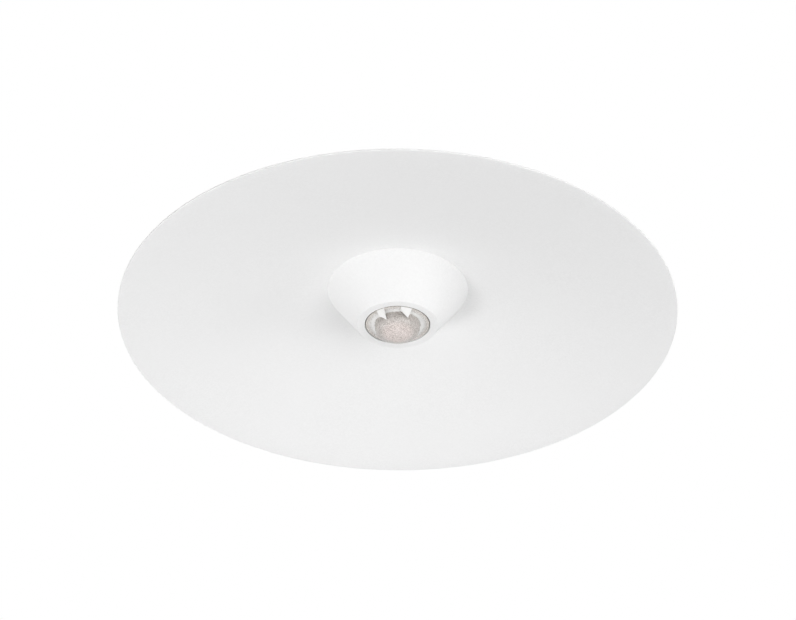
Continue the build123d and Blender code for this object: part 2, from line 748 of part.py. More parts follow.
# Track locks, one at each end
for side, place in (("left", -magnet_x), ("right", magnet_x)):
    outward = -1 if place < 0 else 1
    with BuildPart() as lock_lever:
        with BuildSketch(Plane.XY.offset(lever_bottom)):
            with Locations((place, 0)):
                Circle(lever_radius)
            with Locations((place + outward * lever_reach / 2, 0)):
                Rectangle(lever_reach, lever_grip_width)
        extrude(amount=lever_thickness)
        with BuildSketch(Plane.XY.offset(lever_top)):
            with Locations((place, 0)):
                Circle(lock_shaft_radius)
        extrude(amount=cam_bottom - lever_top)
        with BuildSketch(Plane.XY.offset(cam_bottom)):
            with Locations((place, 0)):
                Rectangle(cam_key, cam_key)
        extrude(amount=cam_thickness)
        with BuildSketch(Plane.XY.offset(cam_top)):
            with Locations((place, 0)):
                Circle(lock_screw_radius + thread_play)
        extrude(amount=-lock_screw_length - slip, mode=Mode.SUBTRACT)
    save(lock_lever, f"lock_lever_{side}")

    with BuildPart() as lock_cam:
        with BuildSketch(Plane.XY.offset(cam_bottom)):
            with Locations((place, 0)):
                SlotOverall(2 * cam_reach, cam_width)
                Rectangle(cam_key + slip, cam_key + slip, mode=Mode.SUBTRACT)
        extrude(amount=cam_thickness)
    save(lock_cam, f"lock_cam_{side}")

    with BuildPart() as lock_washer:
        with BuildSketch(Plane.XY.offset(lever_top + rub)):
            with Locations((place, 0)):
                Circle(lever_radius - slip)
                Circle(lock_hole_radius, mode=Mode.SUBTRACT)
        extrude(amount=lock_washer_thickness - rub)
    save(lock_washer, f"lock_washer_{side}")

    lock_spring_height = cam_bottom - floor_top - lock_spring_wire - 2 * rub
    with BuildPart() as lock_spring:
        with BuildLine() as lock_spring_path:
            Helix(
                pitch=lock_spring_height / lock_spring_turns,
                height=lock_spring_height,
                radius=lock_spring_radius,
                center=(place, 0, floor_top + rub + lock_spring_wire / 2),
            )
        with BuildSketch(lock_spring_path.line ^ 0):
            Circle(lock_spring_wire / 2)
        sweep(is_frenet=True)
    save(lock_spring, f"lock_spring_{side}")

    pan_screws(
        f"lock_screw_{side}", [(place, 0)], cam_top, lock_screw_radius, lock_screw_head_radius,
        lock_screw_head_height, lock_screw_length, up=False,
    )

# Heat sink: plate, core with a recess for the leads, radial fins and a threaded boss
light_screw_places = [(0, -light_screw_place), (0, light_screw_place)]
core_side_places = [(-core_side, 0), (core_side, 0)]
base_radius = nose_base_diameter / 2
tip_radius = nose_tip_diameter / 2
thread_boss_radius = base_radius - thread_boss_inset
dish_land_radius = base_radius
sink_radius = dish_land_radius
fin_length = sink_radius - fin_end_gap - bracket_radius + fin_root
fin_middle = sink_radius - fin_end_gap - fin_length / 2
flank = atan((base_radius - tip_radius) / nose_height)
flank_wall = nose_wall / cos(flank)


def nose_inside(level):
    """Radius of the nose's inner wall at a level."""
    return base_radius - (nose_base - level) * tan(flank) - flank_wall


collar_bore = thread_boss_radius + collar_play
collar_outside = collar_bore + collar_wall
dish_screw_room = nose_inside(dish_land - dish_screw_head_height)
dish_screw_place = (collar_outside + dish_screw_room) / 2
dish_screw_places = ring_of(dish_screw_place, dish_screw_count, first_screw_turn)

with BuildPart() as heat_sink:
    with BuildSketch(Plane.XY.offset(sink_bottom)):
        Circle(sink_radius)
    extrude(amount=sink_plate_thickness)
    with BuildSketch(Plane.XY.offset(sink_plate_top)):
        Circle(bracket_radius)
        Circle(sink_recess_radius, mode=Mode.SUBTRACT)
    extrude(amount=sink_core_height)
    with BuildSketch(Plane.XY.offset(sink_plate_top)):
        with PolarLocations(fin_middle, fin_count):
            Rectangle(fin_length, fin_thickness)
    extrude(amount=fin_height)
    with BuildSketch(Plane.XY.offset(sink_bottom)):
        Circle(thread_boss_radius)
        Circle(thread_boss_radius - thread_boss_wall, mode=Mode.SUBTRACT)
    extrude(amount=-thread_boss_height)
    # Screw holes: bracket screws from above, dish and light source screws from below
    with BuildSketch(Plane.XY.offset(bracket_bottom)):
        with Locations(bracket_screw_places):
            Circle(bracket_screw_radius + thread_play)
    extrude(amount=-bracket_screw_length, mode=Mode.SUBTRACT)
    with BuildSketch(Plane.XY.offset(sink_bottom)):
        with Locations(dish_screw_places):
            Circle(dish_screw_radius + thread_play)
    extrude(amount=dish_screw_length - dish_sheet + slip, mode=Mode.SUBTRACT)
    light_stack = thermal_pad_thickness + light_board_thickness + holder_thickness
    with BuildSketch(Plane.XY.offset(sink_bottom)):
        with Locations(light_screw_places):
            Circle(light_screw_radius + thread_play)
    extrude(amount=light_screw_length - light_stack + slip, mode=Mode.SUBTRACT)
    with BuildSketch(Plane.XY.offset(sink_bottom)):
        with Locations(core_side_places):
            Circle(core_radius + core_pass_play)
    extrude(amount=sink_plate_thickness, mode=Mode.SUBTRACT)
save(heat_sink, "heat_sink")

# Dish: one thin spun sheet, a flat land and a straight cone out to the rim
dish_radius = dish_diameter / 2
dish_slope = atan(dish_depth / (dish_radius - dish_land_radius))
dish_rise = dish_sheet / cos(dish_slope)
dish_bend = dish_land_radius + (dish_rise - dish_sheet) / tan(dish_slope)
dish_hole_radius = thread_boss_radius + dish_hole_gap

with BuildPart() as dish:
    with BuildSketch(Plane.XZ):
        with BuildLine():
            Polyline(
                (dish_hole_radius, dish_land),
                (dish_land_radius, dish_land),
                (dish_radius, dish_rim),
                (dish_radius, dish_rim + dish_rise),
                (dish_bend, sink_bottom),
                (dish_hole_radius, sink_bottom),
                close=True,
            )
        make_face()
    revolve(axis=Axis.Z)
    fillet(dish.edges().filter_by(GeomType.CIRCLE).group_by(SortBy.RADIUS)[-1], dish_rim_round)
    with BuildSketch(Plane.XY.offset(dish_land)):
        with Locations(dish_screw_places):
            Circle(dish_screw_radius + slip)
    extrude(amount=dish_sheet, mode=Mode.SUBTRACT)
save(dish, "dish")

pan_screws(
    "dish_screws", dish_screw_places, dish_land, dish_screw_radius, dish_screw_head_radius,
    dish_screw_head_height, dish_screw_length, up=True,
)

# Nose cone: a turned cone with a threaded collar, a ledge for the lens and a ring groove
ledge_top = nose_tip + tip_block_height
ledge_bottom = ledge_top - ledge_thickness
lens_back = ledge_bottom - lens_gasket_thickness
lens_flange_front = lens_back - lens_flange_thickness
groove_top = lens_flange_front
groove_bottom = groove_top - snap_ring_thickness - snap_groove_play
collar_foot = nose_base - (base_radius - flank_wall - collar_outside) / tan(flank)
bore_foot = nose_base - (base_radius - flank_wall - collar_bore) / tan(flank)

with BuildPart() as nose_cone:
    with BuildSketch(Plane.XZ):
        with BuildLine():
            Polyline(
                (tip_radius, nose_tip),
                (base_radius, nose_base),
                (base_radius - flank_wall, nose_base),
                (collar_outside, collar_foot),
                (collar_outside, dish_land),
                (collar_bore, dish_land),
                (collar_bore, bore_foot),
                (nose_inside(ledge_top), ledge_top),
                (ledge_radius, ledge_top),
                (ledge_radius, ledge_bottom),
                (lens_pocket_radius, ledge_bottom),
                (lens_pocket_radius, groove_top),
                (snap_groove_radius, groove_top),
                (snap_groove_radius, groove_bottom),
                (lens_pocket_radius, groove_bottom),
                (lens_pocket_radius, nose_tip),
                close=True,
            )
        make_face()
    revolve(axis=Axis.Z)
    tip_edges = nose_cone.edges().filter_by(GeomType.CIRCLE).group_by(Axis.Z)[0]
    fillet(tip_edges, nose_edge_round)
    rim_edge = nose_cone.edges().filter_by(GeomType.CIRCLE).group_by(SortBy.RADIUS)[-1]
    fillet(rim_edge, nose_edge_round)
save(nose_cone, "nose_cone")

# Lens gasket and lens: a flange, a step and a dome with a hollow back
with BuildPart() as lens_gasket:
    with BuildSketch(Plane.XY.offset(lens_back)):
        Circle(lens_radius - slip)
        Circle(ledge_radius + slip, mode=Mode.SUBTRACT)
    extrude(amount=lens_gasket_thickness)
save(lens_gasket, "lens_gasket")

dome_root = nose_tip + lens_dome_recess
dome_shoulder = dome_root - lens_dome_side

with BuildPart() as lens:
    with BuildSketch(Plane.XZ):
        with BuildLine():
            Polyline(
                (0, lens_back),
                (lens_radius, lens_back),
                (lens_radius, lens_flange_front),
                (lens_step_radius, lens_flange_front),
                (lens_step_radius, lens_flange_front - lens_step_height),
                (lens_dome_radius, dome_root),
                (lens_dome_radius, dome_shoulder),
            )
            EllipticalCenterArc(
                (0, dome_shoulder), lens_dome_radius, lens_dome_cap,
                start_angle=270, arc_size=90,
            )
            Line((0, dome_shoulder - lens_dome_cap), (0, lens_back))
        make_face()
    revolve(axis=Axis.Z)
    # The hollow in the lens's back
    with BuildSketch(Plane.XZ):
        with BuildLine():
            EllipticalCenterArc(
                (0, lens_back), lens_hollow_radius, lens_hollow_depth,
                start_angle=270, arc_size=90,
            )
            Polyline((lens_hollow_radius, lens_back), (0, lens_back), (0, lens_back - lens_hollow_depth))
        make_face()
    revolve(axis=Axis.Z, mode=Mode.SUBTRACT)
save(lens, "lens")

# Snap ring: open on the -Y side, with a pointed lug at each end that leans on the dome
ring_top = groove_top - snap_groove_play / 2
ring_bottom = ring_top - snap_ring_thickness


def round_point(radius, turn, level):
    """A point at a radius and a level, turned in degrees from -Y towards +X."""
    return Vector(radius * sin(radians(turn)), -radius * cos(radians(turn)), level)


def lug_plate(root_turns, tip_turn, tip_radius, tip_level, inner_bends=(), outer_bends=()):
    """The plane and corners of a pointed plate from the ring to a tip beside the dome.

    A bend is a corner on the way to the tip: how far in from its side, and how far from the root.
    The inner side starts at the ring's end.
    """
    first = round_point(lug_root_radius, root_turns[0], ring_bottom)
    second = round_point(lug_root_radius, root_turns[1], ring_bottom)
    tip = round_point(tip_radius, tip_turn, tip_level)
    across = second - first
    normal = across.cross(tip - first).normalized()
    if normal.Z > 0:
        normal = normal * -1
    plate = Plane(origin=first, x_dir=across, z_dir=normal)
    local_tip = plate.to_local_coords(tip)
    outward = copysign(1, local_tip.Y)
    corners = [(0, 0), (across.length, 0)]
    corners += [(across.length - inset, outward * reach) for inset, reach in outer_bends]
    corners += [(local_tip.X, local_tip.Y)]
    corners += [(inset, outward * reach) for inset, reach in inner_bends]
    return plate, corners


lugs = [
    lug_plate(
        (snap_ring_start, snap_ring_start + right_lug_root_span),
        snap_ring_start + right_lug_tip_turn, right_lug_tip_radius, nose_tip - right_lug_tip_reach,
        inner_bends=[(0, right_lug_shoulder)],
    ),
    lug_plate(
        (snap_ring_end, snap_ring_end - left_lug_root_span),
        snap_ring_end - left_lug_tip_turn, left_lug_tip_radius, nose_tip - left_lug_tip_reach,
        outer_bends=[(0, left_lug_shoulder), (left_lug_elbow_inset, left_lug_elbow_reach)],
    ),
]
gap_middle = (snap_ring_start + snap_ring_end) / 2 - 90
gap_half = (snap_ring_start - snap_ring_end) / 2
gap_reach = (snap_ring_outer_radius + cut_over) / cos(radians(gap_half))
gap_turns = [radians(gap_middle - gap_half), radians(gap_middle + gap_half)]
gap_corners = [(gap_reach * cos(turn), gap_reach * sin(turn)) for turn in gap_turns]

with BuildPart() as lens_snap_ring:
    with BuildSketch(Plane.XY.offset(ring_bottom)):
        Circle(snap_ring_outer_radius)
        Circle(snap_ring_inner_radius, mode=Mode.SUBTRACT)
        with BuildLine():
            Polyline((0, 0), *gap_corners, close=True)
        make_face(mode=Mode.SUBTRACT)
    extrude(amount=snap_ring_thickness)
    for plate, corners in lugs:
        with BuildSketch(plate):
            with BuildLine():
                Polyline(*corners, close=True)
            make_face()
        extrude(amount=-lug_thickness)
save(lens_snap_ring, "lens_snap_ring")

# Light source: thermal pad, board, emitter, phosphor disc, holder and screws
pad_bottom = sink_bottom - thermal_pad_thickness
light_board_bottom = pad_bottom - light_board_thickness
emitter_bottom = light_board_bottom - emitter_thickness
holder_bottom = light_board_bottom - holder_thickness

with BuildPart() as thermal_pad:
    with BuildSketch(Plane.XY.offset(pad_bottom)):
        Circle(light_board_radius)
        with Locations(light_screw_places):
            Circle(light_screw_radius + slip, mode=Mode.SUBTRACT)
        with Locations(core_side_places):
            Circle(core_radius + core_pass_play, mode=Mode.SUBTRACT)
    extrude(amount=thermal_pad_thickness)
save(thermal_pad, "thermal_pad")

with BuildPart() as light_board:
    with BuildSketch(Plane.XY.offset(light_board_bottom)):
        Circle(light_board_radius)
        with Locations(light_screw_places):
            Circle(light_screw_radius + slip, mode=Mode.SUBTRACT)
        with Locations(core_side_places):
            Circle(core_radius + core_hole_play, mode=Mode.SUBTRACT)
    extrude(amount=light_board_thickness)
save(light_board, "light_board")

with BuildPart() as light_emitter:
    with BuildSketch(Plane.XY.offset(emitter_bottom)):
        Rectangle(emitter_side, emitter_side)
    extrude(amount=emitter_thickness)
save(light_emitter, "light_emitter")

with BuildPart() as phosphor_disc:
    with BuildSketch(Plane.XY.offset(emitter_bottom - phosphor_thickness)):
        Circle(phosphor_radius)
    extrude(amount=phosphor_thickness)
save(phosphor_disc, "phosphor_disc")

with BuildPart() as light_holder:
    with BuildSketch(Plane.XY.offset(holder_bottom)):
        Circle(light_board_radius)
        Circle(holder_mouth_radius, mode=Mode.SUBTRACT)
        with Locations(light_screw_places):
            Circle(light_screw_radius + slip, mode=Mode.SUBTRACT)
        with Locations(core_side_places):
            Circle(core_slot_radius, mode=Mode.SUBTRACT)
    extrude(amount=holder_thickness)
    # The pocket over the emitter
    with BuildSketch(Plane.XY.offset(light_board_bottom)):
        Rectangle(emitter_side + 2 * slip, emitter_side + 2 * slip)
    extrude(amount=-emitter_thickness - slip, mode=Mode.SUBTRACT)
save(light_holder, "light_holder")

pan_screws(
    "light_screws", light_screw_places, holder_bottom, light_screw_radius, light_screw_head_radius,
    light_screw_head_height, light_screw_length, up=True,
)

# Reflector: a thin cone from the holder to the ledge behind the lens
reflector_top = holder_bottom - reflector_gap
with BuildPart() as reflector:
    with BuildSketch(Plane.XZ):
        with BuildLine():
            Polyline(
                (reflector_top_radius, reflector_top),
                (reflector_top_radius + reflector_wall, reflector_top),
                (reflector_mouth_radius + reflector_wall, ledge_top + reflector_wall),
                (reflector_flange_radius, ledge_top + reflector_wall),
                (reflector_flange_radius, ledge_top),
                (reflector_mouth_radius, ledge_top),
                close=True,
            )
        make_face()
    revolve(axis=Axis.Z)
save(reflector, "reflector")

# Leads: a round lead down the swivel's middle, which bends at the tilt axis
with BuildPart() as upper_lead:
    with BuildSketch(Plane.XY.offset(tilt_axis + lead_gap)):
        Circle(lead_radius)
    extrude(amount=board_bottom - slip - tilt_axis - lead_gap)
    with BuildSketch(Plane.XY.offset(board_bottom - slip)):
        with Locations(core_places):
            Circle(core_radius)
    extrude(amount=board_thickness + slip + core_board_stand)
save(upper_lead, "upper_lead")

core_level = bracket_bottom - core_run_drop
lower_lead_end = core_level + core_bend_radius + core_lead_in
core_end = light_board_bottom - core_end_drop

with BuildPart() as lower_lead:
    with BuildSketch(Plane.XY.offset(lower_lead_end)):
        Circle(lead_radius)
    extrude(amount=tilt_axis - lower_lead_end)
    for way in (-1, 1):
        with BuildLine() as core_path:
            FilletPolyline(
                (way * core_offset, 0, lower_lead_end),
                (way * core_offset, 0, core_level),
                (way * core_side, 0, core_level),
                (way * core_side, 0, core_end),
                radius=core_bend_radius,
            )
        with BuildSketch(core_path.line ^ 0):
            Circle(core_radius)
        sweep(path=core_path.line)
save(lower_lead, "lower_lead")
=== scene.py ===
import json
import math

import bmesh
import bpy
from mathutils import Matrix, Vector


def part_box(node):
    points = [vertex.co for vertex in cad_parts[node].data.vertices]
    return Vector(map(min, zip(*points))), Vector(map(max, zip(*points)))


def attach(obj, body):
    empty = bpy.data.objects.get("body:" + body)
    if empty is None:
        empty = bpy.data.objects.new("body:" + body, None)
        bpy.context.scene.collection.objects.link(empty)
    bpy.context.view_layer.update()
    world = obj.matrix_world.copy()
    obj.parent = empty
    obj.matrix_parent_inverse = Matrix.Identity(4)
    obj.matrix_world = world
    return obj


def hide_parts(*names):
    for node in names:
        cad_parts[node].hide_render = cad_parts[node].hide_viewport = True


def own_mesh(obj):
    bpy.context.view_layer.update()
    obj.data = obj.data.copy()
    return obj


# Ceiling spotlight: a white powder-coated dish and cone nose under a track adapter.
# Everything is in metres in the part's own frame, with +Z up and the lamp hanging down.

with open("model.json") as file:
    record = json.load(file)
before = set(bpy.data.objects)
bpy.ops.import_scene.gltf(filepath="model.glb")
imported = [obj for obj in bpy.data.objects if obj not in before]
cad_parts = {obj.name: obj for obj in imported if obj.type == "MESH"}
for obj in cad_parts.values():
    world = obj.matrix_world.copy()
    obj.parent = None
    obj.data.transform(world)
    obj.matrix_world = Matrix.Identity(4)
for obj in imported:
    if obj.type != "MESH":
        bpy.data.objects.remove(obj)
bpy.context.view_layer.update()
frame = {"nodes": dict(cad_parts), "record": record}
mm = 0.001
bodyOfNode = {node: body for body, nodes in frame["record"]["behaviour"]["bodies"].items() for node in nodes}
slotOfNode = {part["node"]: part["material_slot"] for part in frame["record"]["subparts"]}
print("frame loaded:", len(frame["nodes"]), "nodes")


# Camera, solved from the ellipses of the rim, the nose's base, its tip and its aperture

cameraSet = {
    "picture": (796, 620),      # pixels
    "distance": 0.8333,         # to the middle of the rim
    "elevation": 34.45,         # degrees below the rim
    "roll": 0.335,              # degrees
    "pixelsPerRadian": 1539.0,
    "rimPixel": (397.48, 334.10),   # where the rim's middle falls
    "sensor": 36.0,
    "nearest": 0.05,
}


def placeCamera():
    wide, tall = cameraSet["picture"]
    rimX, rimY = cameraSet["rimPixel"]
    rimMiddle = Vector((0, 0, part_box("dish")[0].z))
    elevation = math.radians(cameraSet["elevation"])
    roll = math.radians(cameraSet["roll"])
    forward = Vector((0, math.cos(elevation), math.sin(elevation)))
    level = Vector((1, 0, 0))
    upright = level.cross(forward)
    across = level * math.cos(roll) + upright * math.sin(roll)
    up = upright * math.cos(roll) - level * math.sin(roll)
    camera = bpy.data.objects.new("camera", bpy.data.cameras.new("camera"))
    turn = Matrix((across, up, -forward)).transposed().to_4x4()
    camera.matrix_world = Matrix.Translation(rimMiddle - forward * cameraSet["distance"]) @ turn
    camera.data.sensor_width = cameraSet["sensor"]
    camera.data.lens = cameraSet["sensor"] * cameraSet["pixelsPerRadian"] / wide
    camera.data.shift_x = (wide / 2 - rimX) / wide
    camera.data.shift_y = (rimY - tall / 2) / wide
    camera.data.clip_start = cameraSet["nearest"]
    bpy.context.scene.collection.objects.link(camera)
    bpy.context.scene.camera = camera


placeCamera()
print("camera placed")


# Shader sums: a Wire holds one socket, and numbers and wires mix in the usual operators

class Wire:
    def __init__(self, tree, socket=None):
        self.tree = tree
        self.socket = socket

    def make(self, kind, settings=None, values=None, out=0):
        # Any node: its settings first, then the values or links of its sockets
        node = self.tree.nodes.new(kind)
        for key, value in (settings or {}).items():
            setattr(node, key, value)
        for key, value in (values or {}).items():
            if isinstance(value, Wire):
                self.tree.links.new(value.socket, node.inputs[key])
            else:
                node.inputs[key].default_value = value
        return Wire(self.tree, node.outputs[out])

    def math(self, operation, *others):
        values = dict(enumerate((self,) + others))
        return self.make("ShaderNodeMath", {"operation": operation}, values)

    def reflected(self, operation, other):
        return self.make("ShaderNodeMath", {"operation": operation}, {0: other, 1: self})

    def __add__(self, other):
        return self.math("ADD", other)

    __radd__ = __add__

    def __mul__(self, other):
        return self.math("MULTIPLY", other)

    __rmul__ = __mul__

    def __sub__(self, other):
        return self.math("SUBTRACT", other)

    def __rsub__(self, other):
        return self.reflected("SUBTRACT", other)

    def __truediv__(self, other):
        return self.math("DIVIDE", other)

    def __rtruediv__(self, other):
        return self.reflected("DIVIDE", other)

    def vector(self, x, y, z):
        return self.make("ShaderNodeCombineXYZ", values={0: x, 1: y, 2: z})

    def parts(self):
        node = self.make("ShaderNodeSeparateXYZ", values={0: self}).socket.node
        return [Wire(self.tree, output) for output in node.outputs]

    def between(self, low, high):
        # 0 below low, 1 above high, eased in between
        values = {"Value": self, "From Min": low, "From Max": high}
        return self.make("ShaderNodeMapRange", {"interpolation_type": "SMOOTHSTEP"}, values)

    def mixed(self, first, second, blend="MIX"):
        # The first colour where the wire is 0, and where it is 1 the second, or the two multiplied
        values = {0: self}
        for key, colour in ((6, first), (7, second)):
            values[key] = colour if isinstance(colour, Wire) else (*colour, 1.0)
        return self.make("ShaderNodeMix", {"data_type": "RGBA", "blend_type": blend}, values, out=2)


class Finish:
    # A material in the making: its tree, its shader and the object's own coordinates
    def __init__(self, name, colour, roughness, **constants):
        self.material = bpy.data.materials.new(name)
        self.material.use_nodes = True
        self.tree = self.material.node_tree
        self.shader = self.tree.nodes["Principled BSDF"]
        self.shader.inputs["Base Color"].default_value = (*colour, 1.0)
        self.shader.inputs["Roughness"].default_value = roughness
        for key, value in constants.items():
            self.shader.inputs[key.replace("_", " ")].default_value = value
        self.material.diffuse_color = (*colour, 1.0)
        self.wire = Wire(self.tree)
        self.place = self.wire.make("ShaderNodeTexCoord", out="Object")

    def noise(self, size, detail=2.0, roughness=0.5, stretch=None):
        place = self.place
        if stretch:
            place = self.wire.make("ShaderNodeMapping", values={"Vector": place, "Scale": stretch})
        values = {"Vector": place, "Scale": 1.0 / size, "Detail": detail, "Roughness": roughness}
        return self.wire.make("ShaderNodeTexNoise", {"noise_dimensions": "3D"}, values)

    def cells(self, size):
        return self.wire.make("ShaderNodeTexVoronoi", values={"Vector": self.place, "Scale": 1.0 / size})

    def feed(self, **wires):
        for key, value in wires.items():
            self.tree.links.new(value.socket, self.shader.inputs[key.replace("_", " ")])

    def roughen(self, pattern, middle, spread):
        # Where the pattern is 0 or 1, the roughness is half the spread from its middle
        self.feed(Roughness=pattern * spread + (middle - spread / 2))

    def bump(self, height, depth, strength=1.0):
        values = {"Height": height, "Distance": depth, "Strength": strength}
        self.feed(Normal=self.wire.make("ShaderNodeBump", values=values))


def scaled(colour, factor):
    return tuple(min(1.0, part * factor) for part in colour)


# Finishes of the outside

coatSet = {
    "colour": (0.903, 0.903, 0.903),
    "roughness": 0.56,
    "roughnessSpread": 0.08,
    "gloss": 0.38,
    "grain": 0.55 * mm,         # the powder's orange peel
    "mottle": 1.3 * mm,
    "speckShades": (0.976, 1.024),
    "drift": 46 * mm,           # slow unevenness of the spray
    "driftShade": 1.006,
    "driftShare": 0.5,
    "depth": 0.018 * mm,
}


def powderCoat(name, shade=1.0):
    colour = scaled(coatSet["colour"], shade)
    made = Finish(name, colour, coatSet["roughness"], Specular_IOR_Level=coatSet["gloss"])
    grain = made.noise(coatSet["grain"], detail=3.0, roughness=0.6)
    mottle = made.noise(coatSet["mottle"], detail=2.0, roughness=0.7)
    drift = made.noise(coatSet["drift"], detail=1.0)
    speck = grain * 0.5 + mottle * 0.5
    dark, pale = (scaled(colour, part) for part in coatSet["speckShades"])
    tint = speck.between(0.38, 0.62).mixed(dark, pale)
    cloud = drift.between(0.3, 0.7) * coatSet["driftShare"]
    made.feed(Base_Color=cloud.mixed(tint, scaled(colour, coatSet["driftShade"])))
    made.roughen(speck.between(0.3, 0.7), coatSet["roughness"], coatSet["roughnessSpread"])
    made.bump(grain, coatSet["depth"], 0.8)
    return made.material


mouldSet = {
    "gloss": 0.45,
    "grain": 0.22 * mm,
    "roughnessSpread": 0.16,
    "flow": 9 * mm,
    "flowStretch": (1.0, 2.2, 1.0),
    "flowShades": (0.988, 1.006),
    "depth": 0.006 * mm,
}


def mouldedPlastic(name, colour, roughness, sheen=0.0):
    # Spark-eroded mould texture, with faint flow marks
    made = Finish(name, colour, roughness, Specular_IOR_Level=mouldSet["gloss"], Sheen_Weight=sheen)
    grain = made.noise(mouldSet["grain"], detail=2.0)
    flow = made.noise(mouldSet["flow"], detail=2.0, stretch=mouldSet["flowStretch"])
    dark, pale = (scaled(colour, part) for part in mouldSet["flowShades"])
    made.feed(Base_Color=flow.between(0.35, 0.65).mixed(dark, pale))
    made.roughen(grain, roughness, mouldSet["roughnessSpread"])
    made.bump(grain, mouldSet["depth"], 0.7)
    return made.material


metalSet = {
    "scratch": 0.16 * mm,
    "scratchDulls": 0.14,
    "bloom": 3.2 * mm,
    "bloomShines": 0.08,
    "depth": 0.0035 * mm,
}


def platedMetal(name, colour, roughness, brushed=(1.0, 1.0, 1.0), bloomShade=0.86):
    # Plated or drawn metal: fine draw marks and cloudy blooms in the plating
    made = Finish(name, colour, roughness, Metallic=1.0)
    marks = made.noise(metalSet["scratch"], detail=3.0, stretch=brushed)
    clouds = made.noise(metalSet["bloom"], detail=3.0).between(0.38, 0.66)
    made.feed(Base_Color=clouds.mixed(scaled(colour, bloomShade), colour))
    made.feed(Roughness=marks * metalSet["scratchDulls"] - clouds * metalSet["bloomShines"] + roughness)
    made.bump(marks, metalSet["depth"], 0.6)
    return made.material


# The lens's colours from its middle outwards, each with the distances from the axis, in mm, over which it
# takes the place of the one before. Most of them are painted light: the light source seen through the dome,
# shade on the dome, a highlight on the bevel and a shadow at the flange's edge
lensSet = {
    "centre": (0.95, 0.87, 0.84),       # pinkish, the light source painted as seen through the dome
    # painted shade on the dome's sides
    "shoulder": ((0.72, 0.69, 0.665), 6.0, 10.2),
    # painted shade round the dome's foot, where it meets the flange
    "root": ((0.64, 0.61, 0.58), 11.4, 12.2),
    "bevelHighlight": ((0.98, 0.98, 0.97), 12.1, 12.7),     # painted highlight on the bevel beside the dome
    "outer": ((0.90, 0.87, 0.83), 14.6, 16.8),
    "edge": ((0.17, 0.14, 0.11), 17.25, 17.29),     # painted shadow in the thin gap round the lens's step, inside the snap ring
    "paintedSourceShift": 2.2,           # mm towards the front that the painted light source sits from the lens's axis
    "wobble": 1.1 * mm,         # how fine the colours' borders waver
    "roughness": 0.35,
    "roughnessSpread": 0.18,
    "coat": 0.2,
    "stipple": 0.82 * mm,
    "stippleDepth": 0.10 * mm,
    "stippleShare": 0.28,       # how much of the dark speckle comes from the stipple
    "fleck": (0.42, 0.38, 0.36),
    "fleckSize": 0.62 * mm,
    "fleckShare": 0.68,         # and how much from the finer flecks
    "clear": (12.0, 12.7, 13.6, 15.2),  # mm, where the speckle fades out on the painted highlight of the bevel and back in
    "clearing": 0.92,
}


def frostedLens():
    # Its colours follow the distance from the lens's own axis, as its rings do, and paint the light source,
    # shade and highlight that the lens shows
    made = Finish(
        "lensFrosted", lensSet["centre"], 0.34,
        Specular_IOR_Level=0.5, Coat_Weight=lensSet["coat"], Coat_Roughness=0.15,
    )
    x, y, z = made.place.parts()
    radius = (x * x + y * y).math("SQRT") / mm
    ring = radius + made.noise(lensSet["wobble"], detail=2.0) - 0.5
    shifted = y / mm + lensSet["paintedSourceShift"]
    fromPaintedSource = (x * x / (mm * mm) + shifted * shifted).math("SQRT")
    colour = lensSet["centre"]
    zones = (("shoulder", fromPaintedSource), ("root", ring), ("bevelHighlight", ring), ("outer", ring), ("edge", radius))
    for zone, distance in zones:
        tint, start, end = lensSet[zone]
        colour = distance.between(start, end).mixed(colour, tint)
    leaving, gone, returning, back = lensSet["clear"]
    clear = ring.between(leaving, gone) * (1.0 - ring.between(returning, back))
    stipple = made.cells(lensSet["stipple"])
    fleck = made.noise(lensSet["fleckSize"], detail=3.0, roughness=0.8).between(0.48, 0.57)
    speckle = stipple.between(0.1, 0.62) * lensSet["stippleShare"] + fleck * lensSet["fleckShare"]
    amount = speckle * (1.0 - clear * lensSet["clearing"])
    made.feed(Base_Color=amount.mixed(colour, lensSet["fleck"], blend="MULTIPLY"))
    made.roughen(fleck, lensSet["roughness"], lensSet["roughnessSpread"])
    made.bump(stipple + fleck * 0.4, 0.06 * mm, 0.7)
    return made.material


# Finishes of the inside

boardSet = {
    "mask": (0.045, 0.21, 0.085),
    "tracks": (0.10, 0.33, 0.13),
    "trackWidth": 0.25 * mm,
    "trackLength": 5 * mm,
    "trackRow": 1.9 * mm,
    "weave": 0.5 * mm,
}


def driverBoard():
    # Green solder mask with copper tracks showing through as paler lines
    made = Finish("boardGreen", boardSet["mask"], 0.34, Coat_Weight=0.3)
    tracks = made.wire.make("ShaderNodeTexBrick", out=1, values={
        "Vector": made.place, "Scale": 1.0, "Mortar Size": boardSet["trackWidth"],
        "Brick Width": boardSet["trackLength"], "Row Height": boardSet["trackRow"],
    })
    weave = made.noise(boardSet["weave"], detail=1.0)
    made.feed(Base_Color=tracks.mixed(boardSet["mask"], boardSet["tracks"]))
    made.roughen(weave, 0.36, 0.2)
    made.bump(tracks + weave * 0.3, 0.03 * mm)
    return made.material


coilSet = {
    "ferrite": (0.07, 0.06, 0.06),
    "turnShadeAndCopper": ((0.24, 0.08, 0.03), (0.62, 0.25, 0.11)),     # painted shade between the turns, and the copper on them
    "wire": 0.4 * mm,
    "flange": (1.1 * mm, 1.3 * mm),     # where each flange ends
}


